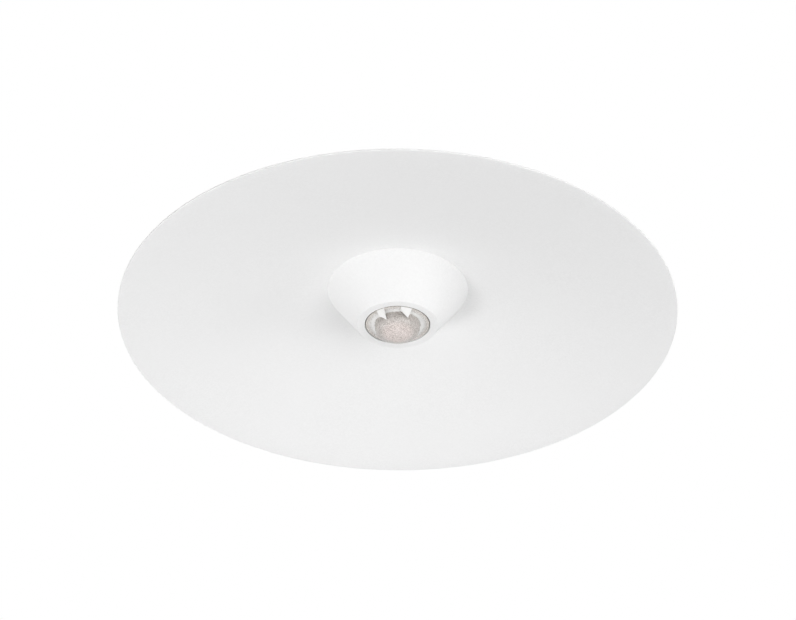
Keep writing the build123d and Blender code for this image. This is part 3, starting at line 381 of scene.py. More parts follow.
def woundInductor():
    # Dark ferrite flanges and, between them, varnished copper turns with painted shade between each turn
    made = Finish("ferriteCopper", coilSet["ferrite"], 0.45)
    low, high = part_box("driver_inductor")
    inner, outer = coilSet["flange"]
    z = made.place.parts()[2]
    waist = z.between(low.z + inner, low.z + outer) * (1.0 - z.between(high.z - outer, high.z - inner))
    turns = (z * (math.tau / coilSet["wire"])).math("SINE") * 0.5 + 0.5
    made.feed(Base_Color=waist.mixed(coilSet["ferrite"], turns.mixed(*coilSet["turnShadeAndCopper"])))
    made.roughen(waist, 0.4, -0.2)
    made.bump(turns * waist, 0.12 * mm)
    return made.material


sheathSet = {"skin": 0.6 * mm, "specks": 2.4 * mm, "dust": 0.2, "dustShade": 0.8, "depth": 0.01 * mm}


def softSheath(name, colour, roughness):
    # Silicone or rubber: a dull skin that gathers a little dust
    made = Finish(name, colour, roughness, Specular_IOR_Level=0.35)
    skin = made.noise(sheathSet["skin"], detail=3.0)
    dust = made.noise(sheathSet["specks"], detail=4.0).between(0.52, 0.7) * sheathSet["dust"]
    made.feed(Base_Color=dust.mixed(colour, scaled(colour, sheathSet["dustShade"])))
    made.roughen(skin, roughness, 0.2)
    made.bump(skin, sheathSet["depth"], 0.6)
    return made.material


gelSet = {
    "colour": (0.93, 0.62, 0.16),
    "grains": ((0.96, 0.70, 0.22), (0.86, 0.52, 0.10)),
    "grain": 0.3 * mm,
}


def phosphorGel():
    # Amber gel with settled grains
    made = Finish("phosphorGel", gelSet["colour"], 0.3, Coat_Weight=0.5)
    grains = made.cells(gelSet["grain"]).between(0.1, 0.7)
    made.feed(Base_Color=grains.mixed(*gelSet["grains"]))
    made.roughen(grains, 0.35, 0.2)
    made.bump(grains, 0.02 * mm, 0.5)
    return made.material


finishes = {
    "white_coat": powderCoat("whiteCoat"),
    "heat_sink_coat": powderCoat("heatSinkCoat", 0.985),
    "white_shell": mouldedPlastic("whiteShell", (0.88, 0.878, 0.87), 0.46),
    "white_nylon": mouldedPlastic("whiteNylon", (0.865, 0.86, 0.85), 0.42, sheen=0.05),
    "black_insulator": mouldedPlastic("blackInsulator", (0.028, 0.028, 0.031), 0.5),
    "magnet_nickel": platedMetal("magnetNickel", (0.62, 0.61, 0.585), 0.27),
    "zinc_steel": platedMetal("zincSteel", (0.61, 0.62, 0.62), 0.32, bloomShade=0.8),
    "spring_steel": platedMetal("springSteel", (0.47, 0.47, 0.48), 0.34, brushed=(1.0, 1.0, 0.2)),
    "contact_brass": platedMetal("contactBrass", (0.86, 0.63, 0.28), 0.24),
    "board_green": driverBoard(),
    "ferrite_copper": woundInductor(),
    "capacitor_sleeve": mouldedPlastic("capacitorSleeve", (0.05, 0.05, 0.075), 0.3),
    "chip_black": mouldedPlastic("chipBlack", (0.035, 0.035, 0.035), 0.55),
    "lead_sheath": softSheath("leadSheath", (0.83, 0.83, 0.81), 0.5),
    "thermal_grey": softSheath("thermalGrey", (0.42, 0.44, 0.47), 0.7),
    "board_white": mouldedPlastic("boardWhite", (0.86, 0.86, 0.83), 0.3),
    "emitter_ceramic": mouldedPlastic("emitterCeramic", (0.88, 0.87, 0.83), 0.4),
    "phosphor": phosphorGel(),
    "reflector_white": mouldedPlastic("reflectorWhite", (0.9, 0.9, 0.885), 0.22),
    "gasket_silicone": softSheath("gasketSilicone", (0.72, 0.71, 0.68), 0.45),
    "lens_frosted": frostedLens(),
}
for node, cadPiece in frame["nodes"].items():
    for slot in cadPiece.material_slots:
        slot.material = finishes[slotOfNode[node]]
print("finishes made:", len(finishes))


# Mesh helpers

meshSet = {
    "merge": 0.2e-6,            # points nearer than this are one
    "cadMerge": 1e-6,
    "crease": 32.0,             # degrees up to which a surface looks smooth
    "bevelAngle": 34.0,         # degrees from which an edge is bevelled
    "bevelSteps": 3,
}


def meshObject(name, vertices, faces):
    mesh = bpy.data.meshes.new(name)
    mesh.from_pydata(vertices, [], faces)
    made = bpy.data.objects.new(name, mesh)
    bpy.context.scene.collection.objects.link(made)
    return made


def merged(mesh, distance):
    # A working copy of a mesh, with its doubles merged
    work = bmesh.new()
    work.from_mesh(mesh)
    bmesh.ops.remove_doubles(work, verts=work.verts, dist=distance)
    return work


def tidyMesh(made, crease=meshSet["crease"]):
    # Merged, facing outwards and smooth up to the crease angle
    work = merged(made.data, meshSet["merge"])
    bmesh.ops.recalc_face_normals(work, faces=work.faces)
    work.to_mesh(made.data)
    work.free()
    smoothTo(made, crease)


def smoothTo(made, crease):
    # Smooth shading, with sharp edges above the angle
    made.data.polygons.foreach_set("use_smooth", [True] * len(made.data.polygons))
    made.data.set_sharp_from_angle(angle=math.radians(crease))
    made.data.update()


def settled(made):
    # The modifiers' result becomes the plain mesh, and the modifiers go
    bpy.context.view_layer.update()
    evaluated = made.evaluated_get(bpy.context.evaluated_depsgraph_get())
    mesh = bpy.data.meshes.new_from_object(evaluated)
    mesh.name = made.name
    made.modifiers.clear()
    made.data = mesh


def addBevel(made, width, angle=meshSet["bevelAngle"]):
    bevel = made.modifiers.new("edges", "BEVEL")
    bevel.width = width
    bevel.segments = meshSet["bevelSteps"]
    bevel.limit_method = "ANGLE"
    bevel.angle_limit = math.radians(angle)


def newTree(name, inputs, fromGeometry=False):
    # A node tree with named inputs: gives a wire in it and its inputs by name
    tree = bpy.data.node_groups.new(name, "GeometryNodeTree")
    if fromGeometry:
        tree.interface.new_socket("Geometry", in_out="INPUT", socket_type="NodeSocketGeometry")
    for label, kind in inputs.items():
        tree.interface.new_socket(label, in_out="INPUT", socket_type="NodeSocket" + kind)
    tree.interface.new_socket("Geometry", in_out="OUTPUT", socket_type="NodeSocketGeometry")
    start = tree.nodes.new("NodeGroupInput")
    return Wire(tree), {socket.name: Wire(tree, socket) for socket in start.outputs if socket.name}


def finished(shape, given):
    # Every tree ends in real geometry with its finish
    real = shape.make("GeometryNodeRealizeInstances", values={"Geometry": shape})
    done = shape.make("GeometryNodeSetMaterial", values={"Geometry": real, "Material": given["Finish"]})
    shape.tree.links.new(done.socket, shape.tree.nodes.new("NodeGroupOutput").inputs[0])
    return shape.tree


def addTree(made, tree, **values):
    # Puts a node tree on an object and sets its inputs by their identifiers
    modifier = made.modifiers.new(tree.name, "NODES")
    modifier.node_group = tree
    labels = {item.name: item.identifier for item in tree.interface.items_tree if item.in_out == "INPUT"}
    for label, value in values.items():
        modifier[labels[label]] = value


def handOver(made, node):
    # The piece takes the place, body, slot and finish of its CAD node
    made.data.materials.clear()
    made.data.materials.append(finishes[slotOfNode[node]])
    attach(made, bodyOfNode[node])
    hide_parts(node)


def skinned(name, rings, closed=False, capped=False):
    # Quads between rings that all have the same number of points
    count = len(rings[0])
    vertices = [point for ring in rings for point in ring]
    pairs = list(zip(range(len(rings)), range(1, len(rings))))
    if closed:
        pairs.append((len(rings) - 1, 0))
    faces = []
    for lower, upper in pairs:
        for place in range(count):
            after = (place + 1) % count
            below, above = lower * count, upper * count
            faces.append((below + place, below + after, above + after, above + place))
    if capped:
        start = (len(rings) - 1) * count
        faces.append(tuple(reversed(range(count))))
        faces.append(tuple(range(start, start + count)))
    return meshObject(name, vertices, faces)


def onCircle(radius, angle, level):
    return (radius * math.cos(angle), radius * math.sin(angle), level)


def fullTurn(steps):
    return [math.tau * step / steps for step in range(steps)]


def quarterTurn(steps):
    return [math.pi / 2 * step / steps for step in range(steps + 1)]


def turnedRings(profile, segments):
    angles = fullTurn(segments)
    return [[onCircle(radius, angle, level) for angle in angles] for radius, level in profile]


def rounded(corners, closed=True, steps=5):
    # A profile of (radius, level, rounding) corners, each rounded by an arc
    points = []
    count = len(corners)
    for place, (x, z, radius) in enumerate(corners):
        here = Vector((x, z))
        if radius <= 0 or (not closed and place in (0, count - 1)):
            points.append((x, z))
            continue
        before = Vector(corners[place - 1][:2]) - here
        after = Vector(corners[(place + 1) % count][:2]) - here
        half = before.angle(after) / 2
        reach = min(radius / math.tan(half), before.length * 0.49, after.length * 0.49)
        start = here + before.normalized() * reach
        end = here + after.normalized() * reach
        bisector = (before.normalized() + after.normalized()).normalized()
        middle = here + bisector * (reach / math.cos(half))
        first = start - middle
        sweep = first.angle_signed(end - middle)
        for step in range(steps + 1):
            arm = Matrix.Rotation(-sweep * step / steps, 2) @ first
            points.append((middle.x + arm.x, middle.y + arm.y))
    return points


def finer(profile, pitch, closed=True):
    # The same profile with extra points, so that no step is longer than the pitch
    points = []
    count = len(profile)
    for place in range(count if closed else count - 1):
        start = Vector(profile[place])
        end = Vector(profile[(place + 1) % count])
        parts = max(1, math.ceil((end - start).length / pitch))
        points += [tuple(start.lerp(end, part / parts)) for part in range(parts)]
    if not closed:
        points.append(tuple(profile[-1]))
    return points


# Dish: a spun sheet with a soft bend between its land and its cone, and a rounded edge

dishSet = {
    "sheet": 1.0 * mm,
    "holeRadius": 27.3 * mm,
    "holeRound": 0.05 * mm,
    "landRadius": 38.8 * mm,    # as far as the nose's edge
    "landBend": 0.4 * mm,
    "edgeRound": 0.3 * mm,
    "pitch": 6 * mm,
    "segments": 360,
}


def makeDish():
    low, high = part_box("dish")
    points = frame["nodes"]["dish"].data.vertices
    rimRadius = max(math.hypot(point.co.x, point.co.y) for point in points)
    holeRadius = dishSet["holeRadius"]
    landRadius = dishSet["landRadius"]
    landTop = high.z
    landUnder = landTop - dishSet["sheet"]
    slope = math.atan2(landUnder - low.z, rimRadius - landRadius)
    rise = dishSet["sheet"] / math.cos(slope)
    bend = landRadius + (rise - dishSet["sheet"]) / math.tan(slope)
    corners = [
        (holeRadius, landUnder, dishSet["holeRound"]),
        (landRadius, landUnder, dishSet["landBend"]),
        (rimRadius, low.z, dishSet["edgeRound"]),
        (rimRadius, low.z + rise, dishSet["edgeRound"]),
        (bend, landTop, dishSet["landBend"]),
        (holeRadius, landTop, dishSet["holeRound"]),
    ]
    profile = finer(rounded(corners), dishSet["pitch"])
    dish = skinned("dishShade", turnedRings(profile, dishSet["segments"]), closed=True)
    tidyMesh(dish)
    handOver(dish, "dish")


makeDish()
print("dish made")


# Nose cone: a turned shell with a lens bore, a ring groove and a threaded collar

noseSet = {
    "baseRadius": 38.8 * mm,
    "tipRadius": 22.0 * mm,
    "height": 22.95 * mm,
    "wall": 2.48 * mm,          # level, across the flank
    "boreRadius": 17.8 * mm,
    "grooveRadius": 18.6 * mm,
    "grooveTop": 1.4 * mm,      # above the tip face, as the next three are
    "grooveBottom": 0.6 * mm,
    "ledgeBottom": 3.4 * mm,
    "ledgeTop": 4.9 * mm,
    "ledgeRadius": 15.2 * mm,
    "collarBore": 27.1 * mm,
    "collarOutside": 30.2 * mm,
    "baseRound": 0.04 * mm,
    "tipRound": 0.15 * mm,
    "boreRound": 0.2 * mm,
    "collarRound": 0.2 * mm,
    "cornerRound": 0.05 * mm,   # every other corner
    "pitch": 4 * mm,
    "segments": 288,
}
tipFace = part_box("nose_cone")[0].z


def makeNose():
    base = tipFace + noseSet["height"]
    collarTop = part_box("nose_cone")[1].z
    baseRadius = noseSet["baseRadius"]
    slope = (baseRadius - noseSet["tipRadius"]) / noseSet["height"]
    innerBase = baseRadius - noseSet["wall"]
    ledgeTop = tipFace + noseSet["ledgeTop"]
    ledgeBottom = tipFace + noseSet["ledgeBottom"]
    grooveTop = tipFace + noseSet["grooveTop"]
    grooveBottom = tipFace + noseSet["grooveBottom"]
    small = noseSet["cornerRound"]

    def underside(radius):
        # Level of the shell's inside at a radius
        return base - (innerBase - radius) / slope

    corners = [
        (noseSet["tipRadius"], tipFace, noseSet["tipRound"]),
        (baseRadius, base, noseSet["baseRound"]),
        (innerBase, base, small),
        (noseSet["collarOutside"], underside(noseSet["collarOutside"]), small),
        (noseSet["collarOutside"], collarTop, small),
        (noseSet["collarBore"], collarTop, noseSet["collarRound"]),
        (noseSet["collarBore"], underside(noseSet["collarBore"]), small),
        (innerBase - (base - ledgeTop) * slope, ledgeTop, small),
        (noseSet["ledgeRadius"], ledgeTop, small),
        (noseSet["ledgeRadius"], ledgeBottom, small),
        (noseSet["boreRadius"], ledgeBottom, small),
        (noseSet["boreRadius"], grooveTop, 0),
        (noseSet["grooveRadius"], grooveTop, 0),
        (noseSet["grooveRadius"], grooveBottom, 0),
        (noseSet["boreRadius"], grooveBottom, 0),
        (noseSet["boreRadius"], tipFace, noseSet["boreRound"]),
    ]
    profile = finer(rounded(corners), noseSet["pitch"])
    nose = skinned("noseCone", turnedRings(profile, noseSet["segments"]), closed=True)
    tidyMesh(nose)
    handOver(nose, "nose_cone")


makeNose()
print("nose made")


# Lens: a turned blank whose dome and bevel are then stippled by a node tree

blankSet = {
    "flangeRadius": 17.78 * mm,
    "flangeFront": 1.4 * mm,    # above the tip face, as the next two are
    "stepFront": 0.25 * mm,
    "domeRoot": 0.3 * mm,
    "stepRadius": 17.3 * mm,
    "domeRadius": 12.2 * mm,
    "domeSide": 2.5 * mm,
    "domeCap": 5.9 * mm,
    "domeSteps": 60,
    "hollowRadius": 9.0 * mm,
    "hollowDepth": 4.0 * mm,
    "hollowSteps": 15,
    "edgeRound": 0.08 * mm,
    "stepRound": 0.05 * mm,
    "rootRound": 0.35 * mm,
    "pitch": 0.17 * mm,
    "backPitch": 2 * mm,
    "segments": 400,
    "crease": 50.0,
    "plainEdge": 0.1 * mm,      # left smooth round the step
    "stippleRise": 0.02 * mm,   # how far behind the step's front the stipple reaches
}


def lensProfile():
    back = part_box("lens")[1].z
    levels = ("flangeFront", "stepFront", "domeRoot")
    flangeFront, stepFront, root = (tipFace + blankSet[level] for level in levels)
    domeRadius, domeCap = blankSet["domeRadius"], blankSet["domeCap"]
    hollowRadius, hollowDepth = blankSet["hollowRadius"], blankSet["hollowDepth"]
    shoulder = root - blankSet["domeSide"]
    dome = [
        (domeRadius * math.cos(turn), shoulder - domeCap * math.sin(turn))
        for turn in quarterTurn(blankSet["domeSteps"])
    ]
    hollow = [
        (hollowRadius * math.sin(turn), back - hollowDepth * math.cos(turn))
        for turn in quarterTurn(blankSet["hollowSteps"])
    ]
    front = [
        (blankSet["flangeRadius"], back, 0),
        (blankSet["flangeRadius"], flangeFront, blankSet["edgeRound"]),
        (blankSet["stepRadius"], flangeFront, blankSet["stepRound"]),
        (blankSet["stepRadius"], stepFront, blankSet["edgeRound"]),
        (domeRadius, root, blankSet["rootRound"]),
        (domeRadius, shoulder, 0),
    ]
    return hollow, rounded(front, closed=False), dome


def stippleTree():
    # Pushes points in by rounded cells, where they are inside the radius and below the front
    wire, given = newTree("lensStipple", {
        "Cell": "Float", "Depth": "Float", "Reach": "Float", "Front": "Float", "Finish": "Material",
    }, fromGeometry=True)
    place = wire.make("GeometryNodeInputPosition")
    x, y, z = place.parts()
    radius = (x * x + y * y).math("SQRT")
    scale = 1.0 / given["Cell"].math("MAXIMUM", 1e-5)
    cells = wire.make("ShaderNodeTexVoronoi", values={"Vector": place, "Scale": scale})
    inside = radius.math("LESS_THAN", given["Reach"]) * z.math("LESS_THAN", given["Front"])
    push = (1.0 - cells.math("MINIMUM", 1.0)) * given["Depth"] * inside * -1.0
    normal = wire.make("GeometryNodeInputNormal")
    offset = wire.make("ShaderNodeVectorMath", {"operation": "SCALE"}, {0: normal, "Scale": push})
    moved = wire.make("GeometryNodeSetPosition", values={"Geometry": given["Geometry"], "Offset": offset})
    return finished(moved, given)


def makeLens():
    hollow, front, dome = lensProfile()
    pitch = blankSet["pitch"]
    back = finer([hollow[-1], front[0]], blankSet["backPitch"], closed=False)
    # The first and last points are on the axis, where the caps close the lens instead
    profile = hollow[1:] + back[1:-1]
    profile += finer(front, pitch, closed=False)[:-1] + finer(dome, pitch, closed=False)[:-1]
    lens = skinned("lensDome", turnedRings(profile, blankSet["segments"]), capped=True)
    tidyMesh(lens, blankSet["crease"])
    addTree(
        lens, stippleTree(), Cell=lensSet["stipple"], Depth=lensSet["stippleDepth"],
        Reach=blankSet["stepRadius"] - blankSet["plainEdge"],
        Front=tipFace + blankSet["stepFront"] + blankSet["stippleRise"],
        Finish=finishes["lens_frosted"],
    )
    settled(lens)
    handOver(lens, "lens")


makeLens()
print("lens made")


# Heat sink: a turned body, with its ribs set round it by a node tree

sinkSet = {
    "coreRadius": 24.0 * mm,
    "recessRadius": 15.5 * mm,
    "plateRadius": 38.8 * mm,
    "plate": 5.0 * mm,
    "bossRadius": 27.0 * mm,
    "bossBore": 24.0 * mm,
    "boss": 6.5 * mm,
    "edgeRound": 0.5 * mm,
    "recessRound": 0.4 * mm,
    "bossRound": 0.3 * mm,
    "ribRound": 0.25 * mm,
    "ribRoot": 0.2 * mm,        # how deep a rib stands in the plate
    "axisFlat": 0.1 * mm,       # radius at which the middle is capped
    "pitch": 5 * mm,
    "segments": 240,
}
ribSet = {
    "Count": 24,
    "Inner": 23.0 * mm,
    "Outer": 37.8 * mm,
    "Thickness": 1.6 * mm,
    "Height": 5.5 * mm,
    "Draft": 0.22,              # how much thinner a rib is at its top
    "Drop": 1.5 * mm,           # how far the top falls towards the outer end
}


def makeSinkBody():
    low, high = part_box("heat_sink")
    under = low.z + sinkSet["boss"]
    top = under + sinkSet["plate"]
    edge, boss = sinkSet["edgeRound"], sinkSet["bossRound"]
    corners = [
        (sinkSet["axisFlat"], top, 0),
        (sinkSet["recessRadius"], top, sinkSet["recessRound"]),
        (sinkSet["recessRadius"], high.z, boss),
        (sinkSet["coreRadius"], high.z, edge),
        (sinkSet["coreRadius"], top, edge),
        (sinkSet["plateRadius"], top, edge),
        (sinkSet["plateRadius"], under, edge),
        (sinkSet["bossRadius"], under, boss),
        (sinkSet["bossRadius"], low.z, boss),
        (sinkSet["bossBore"], low.z, boss),
        (sinkSet["bossBore"], under, boss),
        (sinkSet["axisFlat"], under, 0),
    ]
    profile = finer(rounded(corners, closed=False), sinkSet["pitch"], closed=False)
    body = skinned("heatSinkBody", turnedRings(profile, sinkSet["segments"]), capped=True)
    tidyMesh(body)
    handOver(body, "heat_sink")
    return top


def ribTree():
    wire, given = newTree("coolingRibs", {
        "Count": "Int", "Inner": "Float", "Outer": "Float", "Thickness": "Float", "Height": "Float",
        "Draft": "Float", "Drop": "Float", "Level": "Float", "Finish": "Material",
    })
    length = given["Outer"] - given["Inner"]
    block = wire.make("GeometryNodeMeshCube", values={
        "Size": wire.vector(length, given["Thickness"], given["Height"]),
        "Vertices X": 13, "Vertices Y": 2, "Vertices Z": 5,
    })
    x, y, z = wire.make("GeometryNodeInputPosition").parts()
    rise = z / given["Height"] + 0.5
    thinned = y * (1.0 - given["Draft"] * rise)
    fall = (x / length + 0.5).between(0.5, 1.0) * rise * given["Drop"]
    shaped = wire.vector(x, thinned, given["Height"] * 0.5 + given["Level"] + z - fall)
    rib = wire.make("GeometryNodeSetPosition", values={"Geometry": block, "Position": shaped})
    ring = wire.make("GeometryNodeMeshCircle", values={
        "Vertices": given["Count"], "Radius": (given["Outer"] + given["Inner"]) * 0.5,
    })
    across, along, up = wire.make("GeometryNodeInputPosition").parts()
    turn = wire.vector(0.0, 0.0, along.math("ARCTAN2", across))
    ribs = wire.make("GeometryNodeInstanceOnPoints", values={
        "Points": ring, "Instance": rib, "Rotation": turn,
    })
    return finished(ribs, given)


def makeRibs(plateTop):
    ribs = meshObject("heatSinkRibs", [], [])
    level = plateTop - sinkSet["ribRoot"]
    addTree(ribs, ribTree(), Level=level, Finish=finishes["heat_sink_coat"], **ribSet)
    addBevel(ribs, sinkSet["ribRound"])
    settled(ribs)
    smoothTo(ribs, meshSet["crease"])
    handOver(ribs, "heat_sink")


makeRibs(makeSinkBody())
print("heat sink made")


# Screws: one is modelled for each kind, and a node tree drives it in at every place of its CAD node

tiltScrew = {"head": 4.0, "headHeight": 2.0, "shank": 2.5, "socket": 1.5, "pitch": 0.8, "sunk": False}
screwSet = {                    # radii, heights and pitches in mm
    "cover_screws": {
        "axis": (0, 0, 1), "head": 1.9, "headHeight": 1.0, "shank": 1.0, "socket": 0.95, "pitch": 0.4,
        "sunk": True,
    },
    "bracket_screws": {
        "axis": (0, 0, 1), "head": 2.8, "headHeight": 1.8, "shank": 1.5, "socket": 1.25, "pitch": 0.5,
        "sunk": False,
    },
    "tilt_screw_left": {"axis": (-1, 0, 0), **tiltScrew},
    "tilt_screw_right": {"axis": (1, 0, 0), **tiltScrew},
}
turnSet = {
    "around": 48,               # points round a screw, a multiple of 6
    "chamfer": 0.1 * mm,        # round the socket
    "socketDepth": 0.6,         # of the head's height
    "socketCone": 0.25,         # of the socket's radius
    "sunkEdge": 0.05 * mm,
    "sunkRim": 0.12 * mm,
    "crown": 0.35,              # of the head's height
    "crownSteps": 6,
    "headEdge": 0.08 * mm,
    "axisFlat": 0.05 * mm,
    "steps": 5,                 # rings for each turn of the thread
    "depth": 0.16,              # of the pitch, as the next two are
    "runout": 0.3,              # plain shank under the head
    "lead": 0.5,                # taper at the end
    "point": 0.72,              # the end's radius, of the shank's
    "crease": 30.0,
}


def islandBoxes(node):
    # The lowest and highest corners of each loose solid of a CAD node, in the order of its points
    work = merged(frame["nodes"][node].data, meshSet["cadMerge"])
    seen = set()
    boxes = []
    for first in work.verts:
        if first in seen:
            continue
        seen.add(first)
        edge = [first]
        points = []
        while edge:
            vertex = edge.pop()
            points.append(vertex.co.copy())
            for link in vertex.link_edges:
                other = link.other_vert(vertex)
                if other not in seen:
                    seen.add(other)
                    edge.append(other)
        low = Vector(min(point[axis] for point in points) for axis in range(3))
        high = Vector(max(point[axis] for point in points) for axis in range(3))
        boxes.append((low, high))
    work.free()
    return boxes


def hexagonal(radius, angle):
    return radius * math.cos(math.pi / 6) / math.cos((angle + math.pi / 6) % (math.pi / 3) - math.pi / 6)


def headSide(screw):
    # The head's outline as radii and levels, from its top to the shank
    head, shank, tall = (screw[key] * mm for key in ("head", "shank", "headHeight"))
    if screw["sunk"]:
        edge = turnSet["sunkEdge"]
        return [(head - edge, 0), (head, -edge), (head, -turnSet["sunkRim"]), (shank, -tall)]
    crown = turnSet["crown"] * tall
    edge = turnSet["headEdge"]
    side = [
        (head - crown + crown * math.sin(turn), -crown + crown * math.cos(turn))
        for turn in quarterTurn(turnSet["crownSteps"])
    ]
    return side + [(head, -tall + edge), (head - edge, -tall), (shank + 0.02 * mm, -tall)]


def modelScrew(name, screw, length):
    # Points down from its head's top at the origin
    tall, shank, socket, pitch = (screw[key] * mm for key in ("headHeight", "shank", "socket", "pitch"))
    floor = -tall * turnSet["socketDepth"]
    chamfer = turnSet["chamfer"]
    angles = fullTurn(turnSet["around"])

    def circle(radius, level):
        return [onCircle(radius, angle, level) for angle in angles]

    def hexagon(radius, level):
        return [onCircle(hexagonal(radius, angle), angle, level) for angle in angles]

    rings = [
        circle(turnSet["axisFlat"], floor - turnSet["socketCone"] * socket),
        hexagon(socket, floor),
        hexagon(socket, -chamfer),
        hexagon(socket + chamfer, 0),
    ]
    rings += [circle(radius, level) for radius, level in headSide(screw)]
    start = -tall - turnSet["runout"] * pitch
    end = -length + turnSet["lead"] * pitch
    count = max(2, round((start - end) / pitch * turnSet["steps"]))
    depth = turnSet["depth"] * pitch
    for step in range(count + 1):
        level = start + (end - start) * step / count
        ring = []
        for angle in angles:
            phase = (level / pitch + angle / math.tau) % 1.0
            ring.append(onCircle(shank - depth * abs(2 * phase - 1), angle, level))
        rings.append(ring)
    rings.append(circle(shank * turnSet["point"], -length))
    return skinned(name, rings, capped=True)


def screwTree():
    # A screw at each point, each turned by its own chance angle
    wire, given = newTree("drivenScrews", {
        "Screw": "Object", "Turn": "Vector", "Seed": "Int", "Finish": "Material",
    }, fromGeometry=True)
    screw = wire.make("GeometryNodeObjectInfo", values={"Object": given["Screw"]}, out="Geometry")
    driven = wire.make("GeometryNodeInstanceOnPoints", values={
        "Points": given["Geometry"], "Instance": screw, "Rotation": given["Turn"],
    })
    chance = {2: 0.0, 3: math.tau, "Seed": given["Seed"]}
    spin = wire.make("FunctionNodeRandomValue", {"data_type": "FLOAT"}, chance, out=1)
    turned = wire.make("GeometryNodeRotateInstances", values={
        "Instances": driven, "Rotation": wire.vector(0.0, 0.0, spin), "Local Space": True,
    })
    return finished(turned, given)


def makeScrews(tree, seed, node, screw):
    axis = Vector(screw["axis"])
    tops = []
    for low, high in islandBoxes(node):
        half = (high - low) / 2
        reach = max(abs(axis[side]) * half[side] for side in range(3))
        tops.append((low + high) / 2 + axis * reach)
    source = modelScrew(node + "Model", screw, 2 * reach)
    tidyMesh(source, turnSet["crease"])
    screws = meshObject(node + "_driven", tops, [])
    turn = Vector((0, 0, 1)).rotation_difference(axis).to_euler()
    addTree(screws, tree, Screw=source, Turn=tuple(turn), Seed=seed, Finish=finishes[slotOfNode[node]])
    settled(screws)
    bpy.data.objects.remove(source)
    handOver(screws, node)


drivenTree = screwTree()
for seed, (node, screw) in enumerate(screwSet.items()):
    makeScrews(drivenTree, seed, node, screw)
print("screws made")


# Snap ring: an open ring with two pointed lugs bent out of it, the left one with a fold

snapSet = {
    "start": 7.0,               # degrees round from -Y, where the ring's ends are
    "end": -25.3,
    "inner": 17.68 * mm,
    "outer": 18.4 * mm,
    "bottom": 0.65 * mm,        # above the nose's tip face
    "thickness": 0.7 * mm,
    "edgeRound": 0.08 * mm,
    "edgeSteps": 3,
    "pitch": 2.0,               # degrees between the ring's sections
    "rootRadius": 17.6 * mm,
    "plate": 0.6 * mm,
    "plateRound": 0.064 * mm,
    "plateCrease": 25.0,
    "bendAngle": 8.0,           # degrees from which a lug's edge or fold is rounded
    "foldReach": 0.55,          # how far along the lug its fold stands out most
}
# Each lug: its root and tip in degrees, its tip's radius and reach below the tip face, the bends of its
# two sides, as mm in from the side and mm from the root, and the fold's place on the root and height
lugSet = {
    "right": {
        "root": (7.0, 27.5), "tip": 25.5, "radius": 12.9, "reach": 3.2,
        "inner": [(0, 2.8)], "outer": [], "fold": None,
    },
    "left": {
        "root": (-25.3, -40.5), "tip": -28.2, "radius": 12.7, "reach": 4.1,
        "inner": [], "outer": [(0, 4.2), (1.4, 4.9)], "fold": (0.3, 0.35),
    },
}


def fromFront(radius, degrees, level):
    turn = math.radians(degrees)
    return Vector((radius * math.sin(turn), -radius * math.cos(turn), level))


def makeSnapRing(bottom):
    top = bottom + snapSet["thickness"]
    inner, outer, edge = snapSet["inner"], snapSet["outer"], snapSet["edgeRound"]
    corners = [(inner, bottom, edge), (outer, bottom, edge), (outer, top, edge), (inner, top, edge)]
    section = rounded(corners, steps=snapSet["edgeSteps"])
    sweep = 360 + snapSet["end"] - snapSet["start"]
    count = round(sweep / snapSet["pitch"])
    turns = [snapSet["start"] + sweep * step / count for step in range(count + 1)]
    rings = [[fromFront(radius, turn, level) for radius, level in section] for turn in turns]
    ring = skinned("snapRing", rings, capped=True)
    tidyMesh(ring)
    handOver(ring, "lens_snap_ring")


def lugSheets(lug, bottom):
    # The outlines of the lug's flat faces, and the side that they show to the front
    first, second = (fromFront(snapSet["rootRadius"], turn, bottom) for turn in lug["root"])
    point = fromFront(lug["radius"] * mm, lug["tip"], tipFace - lug["reach"] * mm)
    across = (second - first).normalized()
    width = (second - first).length
    normal = across.cross(point - first).normalized()
    if normal.z > 0:
        normal.negate()
    outward = (point - first - across * (point - first).dot(across)).normalized()
    outer = [first + across * (width - inset * mm) + outward * reach * mm for inset, reach in lug["outer"]]
    inner = [first + across * inset * mm + outward * reach * mm for inset, reach in lug["inner"]]
    if not lug["fold"]:
        return [[first, second] + outer + [point] + inner], normal
    # The fold runs from the root, near the ring's end, to the tip, and stands out a little
    share, stand = lug["fold"]
    start = first.lerp(second, share)
    crest = start.lerp(point, snapSet["foldReach"]) + normal * stand * mm
    return [[start, second] + outer + [point, crest], [first, start, crest, point] + inner], normal


def makeLug(name, lug, bottom):
    sheets, normal = lugSheets(lug, bottom)
    work = bmesh.new()
    for sheet in sheets:
        work.faces.new([work.verts.new(corner) for corner in sheet])
    bmesh.ops.remove_doubles(work, verts=work.verts, dist=meshSet["cadMerge"])
    bmesh.ops.recalc_face_normals(work, faces=work.faces)
    plate = meshObject(name, [], [])
    work.to_mesh(plate.data)
    work.free()
    if plate.data.polygons[0].normal.dot(normal) < 0:
        plate.data.flip_normals()
    solid = plate.modifiers.new("thickness", "SOLIDIFY")
    solid.thickness = snapSet["plate"]
    solid.offset = -1.0
    solid.use_even_offset = True
    addBevel(plate, snapSet["plateRound"], angle=snapSet["bendAngle"])
    settled(plate)
    smoothTo(plate, snapSet["plateCrease"])
    handOver(plate, "lens_snap_ring")


ringBottom = tipFace + snapSet["bottom"]
makeSnapRing(ringBottom)
for side, lug in lugSet.items():
    makeLug(side + "Lug", lug, ringBottom)
print("snap ring made")


# Lock levers' grips: fine ridges for the fingertip, set along each grip by a node tree

